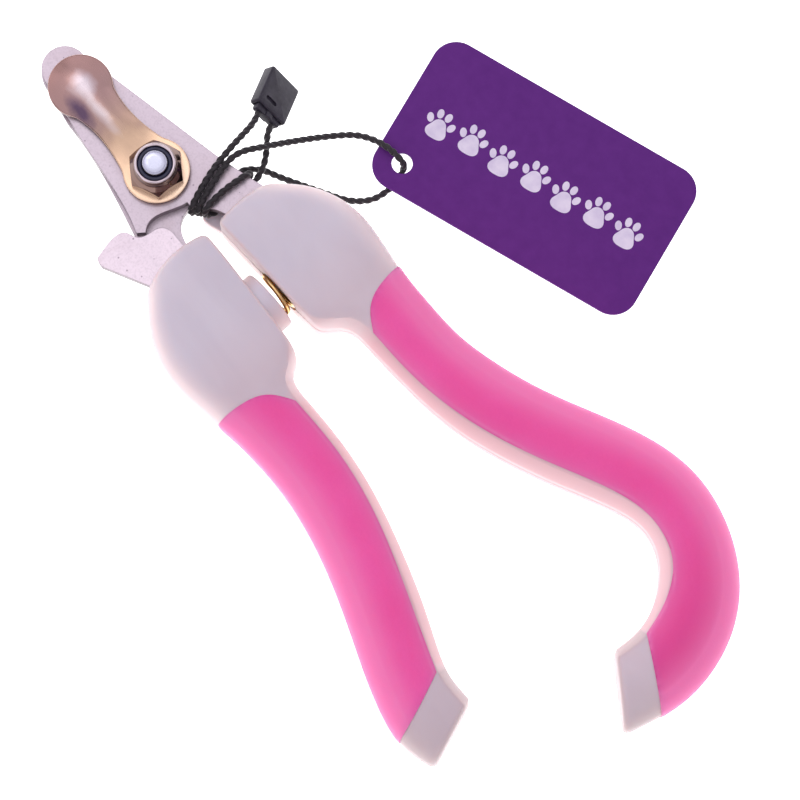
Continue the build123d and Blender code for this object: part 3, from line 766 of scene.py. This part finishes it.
def slab(name, plane, width, height, radius, low, high, bevel, steps=10, middle=(0, 0)):
    """A plate with round corners and eased edges, lying on a leaning plane."""
    turn = np.linspace(0, pi / 2, 4)
    levels = [(bevel * (1 - sin(a)), low + bevel * (1 - cos(a))) for a in turn]
    levels += [(bevel * (1 - sin(a)), high - bevel * (1 - cos(a))) for a in turn[::-1]]
    rings = []
    for inset, z in levels:
        outline = rounded_outline(width - 2 * inset, height - 2 * inset, radius - inset, steps, middle)
        rings.append([on(plane, x, y, z) for x, y in outline])
    return skin_rings(name, np.array(rings))


def make_tag():
    """A thin card with round corners and one hole."""
    tag = slab("hang_tag_look", TAG_PLANE, TAG_WIDTH, TAG_HEIGHT, 5.0, -0.4, 0.4, 0.12, steps=16)
    hole_x, hole_y = HOLE_INSET - TAG_WIDTH / 2, HOLE_INSET - TAG_HEIGHT / 2
    rings = []
    for z in (-3, 3):
        rings.append([
            on(TAG_PLANE, hole_x + HOLE_RADIUS * cos(a), hole_y + HOLE_RADIUS * sin(a), z)
            for a in once_round(64)
        ])
    hole = skin_rings("hole", np.array(rings))
    carve(tag, hole, "DIFFERENCE")
    return smooth(tag, 30)


def paw_shapes(size):
    """The five pads of a plain paw print, as outlines about its middle."""
    main = []
    for a in once_round(40):
        reach = 0.30 + 0.035 * cos(3 * (a - pi / 2)) - 0.02 * cos(2 * a)
        main.append((size * reach * 1.12 * cos(a), size * (reach * sin(a) - 0.20)))
    pads = [main]
    for x, y, lean in ((-0.36, 0.06, 0.45), (-0.14, 0.30, 0.15), (0.14, 0.30, -0.15), (0.36, 0.06, -0.45)):
        toe = []
        for a in once_round(28):
            u, v = 0.105 * cos(a), 0.15 * sin(a)
            across, up = u * cos(lean) - v * sin(lean), u * sin(lean) + v * cos(lean)
            toe.append((size * (x + across), size * (y + up)))
        pads.append(toe)
    return pads


def make_print():
    """A row of paw prints on the tag's face."""
    points, faces = [], []
    for index in range(PAW_COUNT):
        x = (index - (PAW_COUNT - 1) / 2) * PAW_PITCH
        y = PAW_STEP if index % 2 else -PAW_STEP
        for pad in paw_shapes(PAW_SIZE):
            start = len(points)
            count = len(pad)
            for z in PRINT_HEIGHTS:
                points += [on(TAG_PLANE, px + x, py + y, z) for px, py in pad]
            faces.append(tuple(range(start + count, start + 2 * count)))
            faces.append(tuple(range(start + count - 1, start - 1, -1)))
            for k in range(count):
                m = (k + 1) % count
                faces.append((start + k, start + m, start + count + m, start + count + k))
    return mesh_from("tag_print", np.array(points), faces)


def make_seal():
    """A moulded body with a small slot in its face, and the plug that closes its mouth."""
    body = slab("seal_body_look", SEAL_PLANE, 8.0, 9.0, 0.55, -1.3, 1.3, 0.35, steps=5, middle=(0, 0.7))
    slot = slab("slot", SEAL_PLANE, 2.9, 0.85, 0.4, 0.85, 2.0, 0.05, steps=5, middle=(-1.15, -1.75))
    carve(body, slot, "DIFFERENCE")
    mouth = slab("mouth", SEAL_PLANE, 6.9, 2.4, 0.3, -0.95, 0.95, 0.08, steps=4, middle=(0, -3.9))
    carve(body, mouth, "DIFFERENCE")
    plug = slab("seal_plug_look", SEAL_PLANE, 6.4, 2.4, 0.45, -0.75, 0.75, 0.2, steps=5, middle=(0, -3.85))
    rib = slab("rib", SEAL_PLANE, 1.6, 1.4, 0.2, -1.0, 1.0, 0.1, steps=4, middle=(0, -4.3))
    carve(plug, rib, "UNION")
    return smooth(body, 30), smooth(plug, 30)


# ---- materials
def along_x(low, high):
    """Two places along the clipper in metres, from millimetres past the pivot."""
    return PIVOT.x + low * MM, PIVOT.x + high * MM


# Where the handles' painted shade and glow, and the straight tip's darkening, begin and end, along X, and
# across the hook along Y.
BOLSTER_BACK = along_x(30, 43)
GRIPS_START = along_x(49, 53)
GRIPS_END = along_x(106, 108)
HOOK_END = along_x(114, 136)
HOOK_INSIDE = (PIVOT.y + 9.5 * MM, PIVOT.y + 10.5 * MM)
# The direction in which a handle's end grows darker, and where the darkening begins and ends along that.
TIP_SLANT = Vector((0.747, -0.665, 0))
TIP_DARKENING = (TIP_SLANT.dot(PIVOT) + 96 * MM, TIP_SLANT.dot(PIVOT) + 110 * MM)


def material(name, **sockets):
    """A new material whose shader's own sockets hold its constants."""
    made = bpy.data.materials.new(name)
    made.use_nodes = True
    shader = made.node_tree.nodes["Principled BSDF"]
    for key, value in sockets.items():
        shader.inputs[key.replace("_", " ")].default_value = value
    return made


def add(made, kind, inputs=(), **settings):
    """A node, with its settings, and its inputs given as values or as other nodes' outputs."""
    tree = made.node_tree
    node = tree.nodes.new("ShaderNode" + kind)
    for key, value in settings.items():
        setattr(node, key, value)
    for key, value in dict(inputs).items():
        if isinstance(value, bpy.types.NodeSocket):
            tree.links.new(value, node.inputs[key])
        else:
            node.inputs[key].default_value = value
    return node


def surface(made, colour, roughness=None, normal=None):
    """Leads what changes over the surface into the material's shader."""
    shader = made.node_tree.nodes["Principled BSDF"]
    for socket, value in (("Base Color", colour), ("Roughness", roughness), ("Normal", normal)):
        if value is not None:
            made.node_tree.links.new(value, shader.inputs[socket])
    return made


def calc(made, how, a, b=0.0, **settings):
    """The result of a Math node."""
    return add(made, "Math", {0: a, 1: b}, operation=how, **settings).outputs[0]


def own_place(made):
    """The piece's own place, in metres."""
    return add(made, "TexCoord").outputs["Object"]


def grain(made, scale, detail=3.0, stretch=(1, 1, 1), distortion=0.0, turn=0.0):
    """Noise over the piece's own place, with features of about 1/scale metres."""
    mapped = add(made, "Mapping", {"Vector": own_place(made), "Scale": stretch, "Rotation": (0, 0, turn)})
    return add(made, "TexNoise", {
        "Vector": mapped.outputs[0], "Scale": scale, "Detail": detail, "Distortion": distortion,
    }).outputs["Fac"]


def ramp(made, value, stops):
    """A colour ramp with (place, colour) stops."""
    node = add(made, "ValToRGB", {"Fac": value})
    elements = node.color_ramp.elements
    while len(elements) < len(stops):
        elements.new(0.5)
    for element, (where, colour) in zip(elements, stops):
        element.position = where
        element.color = (*colour, 1)
    return node.outputs["Color"]


def mottle(made, value, low, high):
    """A soft change between two colours, as noise gives it."""
    return ramp(made, value, [(0.3, low), (0.7, high)])


def spread_of(made, value, low, high, new_low, new_high):
    """The value moved from one range to another, and held inside it."""
    return add(made, "MapRange", {
        "Value": value, "From Min": low, "From Max": high, "To Min": new_low, "To Max": new_high,
    }).outputs["Result"]


def varied(made, noise, low, high):
    """A number that goes from low to high as noise does."""
    return spread_of(made, noise, 0.3, 0.7, low, high)


def mix(made, amount, a, b):
    """Colour a turned towards colour b, each given as three numbers or as an output."""
    node = add(made, "Mix", data_type="RGBA")
    for index, value in ((0, amount), (6, a), (7, b)):
        if isinstance(value, bpy.types.NodeSocket):
            made.node_tree.links.new(value, node.inputs[index])
        else:
            node.inputs[index].default_value = value if index == 0 else (*value, 1)
    return node.outputs[2]


def scaled(tint, share):
    """A colour with its strength changed."""
    return tuple(share * c for c in tint)


def bumped(made, height, strength, distance, normal=None):
    """Fine relief, over the given normal if there is one."""
    inputs = {"Height": height, "Strength": strength, "Distance": distance}
    if normal is not None:
        inputs["Normal"] = normal
    return add(made, "Bump", inputs).outputs["Normal"]


def painted_light_on_slopes(made, colour, tint, low=0.2, high=0.6):
    """Upright faces, which are cut edges or thin walls, take a colour of their own: painted light or
    shade, lighter or darker than the faces that look up.
    """
    facing = add(made, "NewGeometry").outputs["Normal"]
    upward = add(made, "SeparateXYZ", {"Vector": facing}).outputs["Z"]
    return mix(made, spread_of(made, calc(made, "ABSOLUTE", upward), low, high, 1.0, 0.0), colour, tint)


def soft_rubber():
    """Pink thermoplastic rubber: matt, a little clear, with a fine spark-eroded texture."""
    made = material(
        "soft_rubber", Subsurface_Weight=0.45, Subsurface_Scale=0.006, Specular_IOR_Level=0.3,
        Sheen_Weight=0.12, Sheen_Roughness=0.5, Subsurface_Radius=(1.0, 0.35, 0.5),
        Sheen_Tint=(1.0, 0.75, 0.9, 1),
    )
    fine = grain(made, 2600, 2)
    colour = mottle(made, grain(made, 55, 2), (0.95, 0.09, 0.36), (1.0, 0.115, 0.41))
    colour = mix(made, spread_of(made, fine, 0.35, 0.75, 0.0, 0.16), colour, (0.84, 0.055, 0.28))
    along = add(made, "SeparateXYZ", {"Vector": own_place(made)}).outputs["X"]
    # Painted shade: the grip is painted darker towards the far end of the hook, as if less lit there.
    painted_hook_shade = spread_of(made, along, *HOOK_END, 0.0, 0.6)
    colour = mix(made, painted_hook_shade, colour, (0.66, 0.045, 0.24))
    # A painted glow: the grip's upright edges are painted a lighter pink.
    colour = painted_light_on_slopes(made, colour, (1.0, 0.20, 0.46), 0.88, 0.9985)
    roughness = varied(made, grain(made, 140, 3), 0.46, 0.60)
    return surface(made, colour, roughness, bumped(made, fine, 0.14, 0.00012))


def shell_plastic():
    """White moulded plastic: satin, with faint flow marks, a painted glow on thin walls and beside the
    grips, painted shade towards the neck, and ends that grow darker.
    """
    made = material(
        "shell_plastic", Subsurface_Weight=0.35, Subsurface_Scale=0.0015, Specular_IOR_Level=0.35,
        Subsurface_Radius=(1.0, 0.62, 0.5),
    )
    place_of = own_place(made)
    parts = add(made, "SeparateXYZ", {"Vector": place_of}).outputs
    flow = grain(made, 38, 4, stretch=(1, 3, 1), distortion=0.6)
    colour = mottle(made, flow, (0.625, 0.575, 0.635), (0.67, 0.625, 0.68))
    # Painted shade: the bolster is painted darker and warmer towards the neck.
    painted_neck_shade = spread_of(made, parts["X"], *BOLSTER_BACK, 0.0, 0.35)
    colour = mix(made, painted_neck_shade, colour, (0.62, 0.44, 0.44))
    past_grip = spread_of(made, parts["X"], *GRIPS_END, 0.0, 1.0)
    not_hook = spread_of(made, parts["Y"], *HOOK_INSIDE, 1.0, 0.0)
    tip = calc(made, "MULTIPLY", past_grip, not_hook)
    beside_grip = spread_of(made, parts["X"], *GRIPS_START, 0.0, 1.0)
    painted_grip_glow = calc(made, "SUBTRACT", beside_grip, tip, use_clamp=True)
    # Darker towards the end of the straight handle.
    down = add(made, "VectorMath", {0: place_of, 1: TIP_SLANT}, operation="DOT_PRODUCT").outputs["Value"]
    darker_tip = calc(made, "MULTIPLY", spread_of(made, down, *TIP_DARKENING, 0.0, 0.32), tip)
    colour = mix(made, darker_tip, colour, (0.40, 0.32, 0.32))
    # A painted glow: upright walls are painted a lighter peach, dimmer at the straight tip.
    slopes = mix(made, tip, (0.82, 0.69, 0.69), (0.60, 0.49, 0.49))
    colour = painted_light_on_slopes(made, colour, slopes, 0.60, 0.97)
    # A painted glow: the plastic beside the grips is painted warm pink, as the grips' light on it.
    colour = mix(made, painted_grip_glow, colour, (0.82, 0.54, 0.56))
    rubs = grain(made, 420, 5, stretch=(1, 7, 3), turn=0.4)
    roughness = spread_of(made, rubs, 0.35, 0.7, 0.36, 0.48)
    return surface(made, colour, roughness, bumped(made, grain(made, 1500, 2), 0.05, 0.0001))


def brushed_steel(name, tint):
    """Ground stainless plate: grain along its length, stains, dark specks, edges worn bright, and painted
    shade on its upright faces.
    """
    made = material(name, Metallic=1.0, Anisotropic=0.35)
    lines = grain(made, 900, 4, stretch=(0.08, 1.3, 1), turn=0.18)
    clouds = spread_of(made, grain(made, 160, 4), 0.4, 0.8, 0.0, 0.35)
    sand = spread_of(made, grain(made, 2600, 2), 0.45, 0.7, 0.0, 0.5)
    stain = spread_of(made, grain(made, 95, 5, distortion=0.8), 0.52, 0.72, 0.0, 0.55)
    cells = add(made, "TexVoronoi", {"Vector": own_place(made), "Scale": 420.0, "Randomness": 1.0})
    specks = spread_of(made, cells.outputs["Distance"], 0.05, 0.09, 1.0, 0.0)
    colour = ramp(made, lines, [(0.25, scaled(tint, 0.86)), (0.75, tint)])
    colour = mix(made, clouds, colour, scaled(tint, 0.9))
    colour = mix(made, sand, colour, scaled(tint, 0.70))
    colour = mix(made, stain, colour, (0.50, 0.41, 0.44))
    colour = mix(made, specks, colour, (0.30, 0.25, 0.29))
    # Painted shade: upright edges and sides of the plate are painted dark.
    colour = painted_light_on_slopes(made, colour, (0.14, 0.10, 0.12), 0.35, 0.8)
    edge = add(made, "Bevel", {"Radius": 0.00022}, samples=6).outputs[0]
    roughness = spread_of(made, lines, 0.25, 0.75, 0.30, 0.44)
    return surface(made, colour, roughness, bumped(made, lines, 0.08, 0.00005, edge))


def heat_tinted_steel():
    """Polished plate, straw gold by the nut and mauve-brown at the end, with a purple patch, a painted
    highlight on the spoon and its ridge, and painted shade on its edges.
    """
    made = material("heat_tinted_steel", Metallic=1.0, Anisotropic=0.2)
    moved = add(made, "Mapping", {
        "Vector": own_place(made), "Location": (-PIVOT.x / MM, -PIVOT.y / MM, 0), "Scale": (1 / MM,) * 3,
    }).outputs[0]

    def around(centre, stretch):
        """Distance from a place on the lever, in mm from the pivot, with a ragged edge."""
        offset = add(made, "VectorMath", {0: moved, 1: centre}, operation="SUBTRACT").outputs[0]
        flat = add(made, "VectorMath", {0: offset, 1: stretch}, operation="MULTIPLY").outputs[0]
        far = add(made, "VectorMath", {0: flat}, operation="LENGTH").outputs["Value"]
        return calc(made, "ADD", far, varied(made, grain(made, 300, 3), -0.25, 0.25))

    drift = varied(made, grain(made, 160, 3), -2.2, 2.2)
    along = calc(made, "ADD", add(made, "SeparateXYZ", {"Vector": moved}).outputs["X"], drift)
    colour = ramp(made, spread_of(made, along, -29.0, 7.0, 0.0, 1.0), [
        (0.0, (0.40, 0.24, 0.21)), (0.25, (0.40, 0.26, 0.24)), (0.44, (0.44, 0.30, 0.25)),
        (0.58, (0.60, 0.42, 0.29)), (0.75, (0.86, 0.60, 0.40)), (1.0, (0.90, 0.68, 0.50)),
    ])
    # A painted highlight: a lighter patch in the middle of the spoon.
    painted_highlight = spread_of(made, around((-21.6, 0.4, 0), (0.36, 0.42, 0)), 0.2, 1.25, 0.85, 0.0)
    colour = mix(made, painted_highlight, colour, (0.60, 0.54, 0.58))
    # A painted highlight: a lighter streak along the neck's ridge.
    painted_ridge_highlight = spread_of(made, around((-16.0, -0.7, 0), (0.19, 0.85, 0)), 0.3, 1.2, 0.7, 0.0)
    colour = mix(made, painted_ridge_highlight, colour, (0.62, 0.56, 0.58))
    blued = spread_of(made, around((-18.3, -3.4, 0), (0.28, 0.62, 0)), 0.3, 1.25, 0.9, 0.0)
    colour = mix(made, blued, colour, (0.11, 0.07, 0.13))
    # Painted shade: the lever's edges are painted dark brown.
    colour = painted_light_on_slopes(made, colour, (0.07, 0.035, 0.035), 0.25, 0.5)
    lines = grain(made, 800, 4, stretch=(0.1, 1.2, 1))
    roughness = varied(made, lines, 0.20, 0.30)
    return surface(made, colour, roughness, bumped(made, lines, 0.05, 0.00005))


def bright_metal(name, tint, low, high, sides=None):
    """Plated fastener metal with fine turning marks, smudges and worn edges, and painted shade on its
    upright faces where sides are given.
    """
    made = material(name, Metallic=1.0)
    marks = grain(made, 1400, 3, stretch=(1, 1, 4))
    colour = mottle(made, grain(made, 260, 4), scaled(tint, 0.82), tint)
    # Painted shade: where sides are given, upright faces are painted darker, a painted dark reflection on
    # the nut's hexagon.
    if sides:
        colour = painted_light_on_slopes(made, colour, sides, 0.55, 0.80)
    edge = add(made, "Bevel", {"Radius": 0.00012}, samples=4).outputs[0]
    roughness = varied(made, marks, low, high)
    return surface(made, colour, roughness, bumped(made, marks, 0.06, 0.00004, edge))


def navy_nylon():
    """Dark blue nylon with a fine moulded grain and an even gloss."""
    made = material("navy_nylon", Roughness=0.35, Subsurface_Weight=0.1, Subsurface_Scale=0.0005)
    colour = mottle(made, grain(made, 900, 3), (0.010, 0.012, 0.035), (0.022, 0.026, 0.07))
    return surface(made, colour, normal=bumped(made, grain(made, 2500, 2), 0.15, 0.0001))


def printed_card(name, low, high):
    """Smooth printed card, with the print's faint mottle and the card's own slight texture."""
    made = material(name, Specular_IOR_Level=0.15)
    colour = mottle(made, grain(made, 420, 4), low, high)
    roughness = varied(made, grain(made, 1800, 3), 0.50, 0.62)
    return surface(made, colour, roughness, bumped(made, grain(made, 1300, 3), 0.06, 0.0001))


def waxed_fibre():
    """Black waxed thread: fine fibres along the twist."""
    made = material("waxed_fibre", Sheen_Weight=0.35, Sheen_Roughness=0.4, Specular_IOR_Level=0.45)
    fibres = grain(made, 5200, 3, stretch=(1, 1.6, 1.3))
    colour = mottle(made, fibres, (0.004, 0.003, 0.004), (0.022, 0.017, 0.022))
    roughness = varied(made, fibres, 0.45, 0.68)
    return surface(made, colour, roughness, bumped(made, fibres, 0.5, 0.0001))


def seal_plastic():
    """Near-black moulded plastic with a fine grain."""
    made = material("seal_plastic", Specular_IOR_Level=0.35)
    colour = mottle(made, grain(made, 700, 4), (0.020, 0.017, 0.028), (0.032, 0.028, 0.043))
    roughness = varied(made, grain(made, 1600, 3), 0.36, 0.52)
    return surface(made, colour, roughness, bumped(made, grain(made, 2400, 2), 0.12, 0.0001))


def dress(piece, made):
    """Gives a piece its one material."""
    piece.data.materials.clear()
    piece.data.materials.append(made)
    return piece


def dress_node(name, made):
    """Gives a CAD node, which keeps its own mesh, a better material."""
    for slot in frame["nodes"][name].material_slots:
        slot.material = made


# ---- stage
FLOOR_REACH = 3.0
FLOOR_DROP = 0.2 * MM


def make_stage():
    """A plain white floor that glows like a light table, a hair under the clipper."""
    corners = [(x * FLOOR_REACH, y * FLOOR_REACH, 0) for x, y in ((-1, -1), (1, -1), (1, 1), (-1, 1))]
    mesh = bpy.data.meshes.new("floor")
    mesh.from_pydata(corners, [], [(0, 1, 2, 3)])
    floor = link(mesh, "floor")
    floor.location.z = -FLOOR_DROP
    made = material(
        "floor_white", Roughness=0.9, Specular_IOR_Level=0.1, Emission_Strength=1.55,
        Emission_Color=(1, 1, 1, 1),
    )
    dress(floor, surface(made, mottle(made, grain(made, 6, 2), (0.50, 0.50, 0.50), (0.53, 0.53, 0.53))))


def make_key_light(where, size, power):
    """One soft square lamp, aimed at the frame's origin."""
    data = bpy.data.lights.new("key", "AREA")
    data.size = size
    data.energy = power
    lamp = bpy.data.objects.new("key", data)
    lamp.location = where
    lamp.rotation_euler = (-Vector(where)).to_track_quat("-Z", "Y").to_euler()
    bpy.context.scene.collection.objects.link(lamp)


def make_world():
    """A big soft box overhead, walls brighter on one side, and uneven panels low down for the metal."""
    world = bpy.data.worlds.new("studio")
    world.use_nodes = True
    direction = add(world, "TexCoord").outputs["Generated"]
    parts = add(world, "SeparateXYZ", {0: direction}).outputs
    walls = add(world, "TexNoise", {"Vector": direction, "Scale": 2.3, "Detail": 0.0})
    panels = spread_of(world, walls.outputs["Fac"], 0.42, 0.58, 0.25, 1.5)
    low_down = spread_of(world, parts["Z"], 0.45, 0.75, 1.0, 0.0)
    uneven = add(world, "Mix", {0: low_down, 2: 1.0, 3: panels}).outputs[0]
    slant = add(world, "Math", {0: parts["X"], 1: -0.28, 2: 1.0}, operation="MULTIPLY_ADD").outputs[0]
    sky = ramp(world, parts["Z"], [
        (0.0, (0.60, 0.57, 0.60)), (0.30, (0.42, 0.39, 0.44)), (0.55, (0.86, 0.80, 0.90)),
        (0.86, (0.93, 0.87, 0.97)), (0.95, (1.15, 1.10, 1.18)),
    ])
    background = world.node_tree.nodes["Background"]
    world.node_tree.links.new(sky, background.inputs["Color"])
    world.node_tree.links.new(calc(world, "MULTIPLY", slant, uneven), background.inputs["Strength"])
    bpy.context.scene.world = world


# ---- the whole scene
make_camera()
make_stage()
make_world()
make_key_light((-0.5, 0.1, 0.9), 0.4, 0.5)
bpy.context.scene.view_settings.view_transform = "Standard"

cord, cord_line, cord_length = make_cord()
dress(cord, waxed_fibre())
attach(cord, "hooked_half")
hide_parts("tag_cord")

tag = dress(make_tag(), printed_card("tag_card", (0.108, 0.018, 0.195), (0.122, 0.022, 0.215)))
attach(tag, "hooked_half")
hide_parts("hang_tag")
tag_print = dress(make_print(), printed_card("tag_ink", (0.66, 0.60, 0.76), (0.80, 0.75, 0.86)))
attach(tag_print, "hooked_half")
seal_body, seal_plug = make_seal()
SEAL_LOOK = seal_plastic()
for piece, node in ((seal_body, "seal_body"), (seal_plug, "seal_plug")):
    dress(piece, SEAL_LOOK)
    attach(piece, "hooked_half")
    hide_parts(node)

RUBBER = soft_rubber()
PLASTIC = shell_plastic()

straight_grip, straight_core = handle_pieces("straight", STRAIGHT_STATIONS, STRAIGHT_GRIP, 1.3)
carve(straight_core, make_boss(), "UNION")
bore = cylinder_tool("bore", (SPRING_X, -4.0, MIDDLE_Z), SPRING_BORE, 12, "Y")
carve(straight_core, bore, "DIFFERENCE")
straight_shells = halves(straight_core, "straight")
carve(straight_shells[0], prism("slot", LATCH_SLOT, *LATCH_SLOT_HEIGHTS), "DIFFERENCE")

hooked_grip, hooked_core = handle_pieces("hooked", HOOKED_STATIONS, HOOKED_GRIP, 0.4)
bore = cylinder_tool("bore", (SPRING_X, -2.0, MIDDLE_Z), SPRING_BORE, 10, "Y")
carve(hooked_core, bore, "DIFFERENCE")
hooked_shells = halves(hooked_core, "hooked")
carve(hooked_shells[1], make_lip(), "UNION")

for side, grip, shells in (
    ("straight", straight_grip, straight_shells), ("hooked", hooked_grip, hooked_shells),
):
    grip.name = f"{side}_grip_look"
    dress(smooth(grip, 40), RUBBER)
    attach(grip, f"{side}_half")
    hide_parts(f"{side}_grip")
    for shell, place_name in zip(shells, ("top", "bottom")):
        dress(smooth(shell, 40), PLASTIC)
        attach(shell, f"{side}_half")
        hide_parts(f"{side}_{place_name}_shell")

guard = dress(make_guard(), heat_tinted_steel())
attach(guard, "guard")
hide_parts("nail_guard")

# The sides given to both metals are painted shade on their upright faces: a painted dark reflection on the
# nut, painted shade on the bolt and washers.
CHROME = bright_metal("warm_chrome", (0.80, 0.70, 0.72), 0.06, 0.14, sides=(0.13, 0.075, 0.06))
ZINC = bright_metal("zinc_plate", (0.60, 0.62, 0.74), 0.22, 0.36, sides=(0.30, 0.28, 0.30))
nut = dress(make_nut(), CHROME)
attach(nut, "straight_half")
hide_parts("lock_nut")
bolt = dress(make_bolt(), ZINC)
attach(bolt, "straight_half")
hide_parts("pivot_bolt")
insert = dress(make_insert(), navy_nylon())
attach(insert, "straight_half")
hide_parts("nut_insert")

spring = dress(make_spring(), bright_metal("spring_brass", (0.86, 0.60, 0.26), 0.14, 0.26))
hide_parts("return_spring")
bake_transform(spring)

BLADE = brushed_steel("brushed_steel", (0.60, 0.52, 0.575))
LATCH = brushed_steel("latch_steel", (0.78, 0.68, 0.74))
dress_node("upper_blade", BLADE)
dress_node("lower_blade", BLADE)
dress_node("lock_latch", LATCH)
for name in (
    "head_washer", "friction_washer", "latch_washer", "latch_rivet", "straight_dowels", "hooked_dowels",
):
    dress_node(name, ZINC)
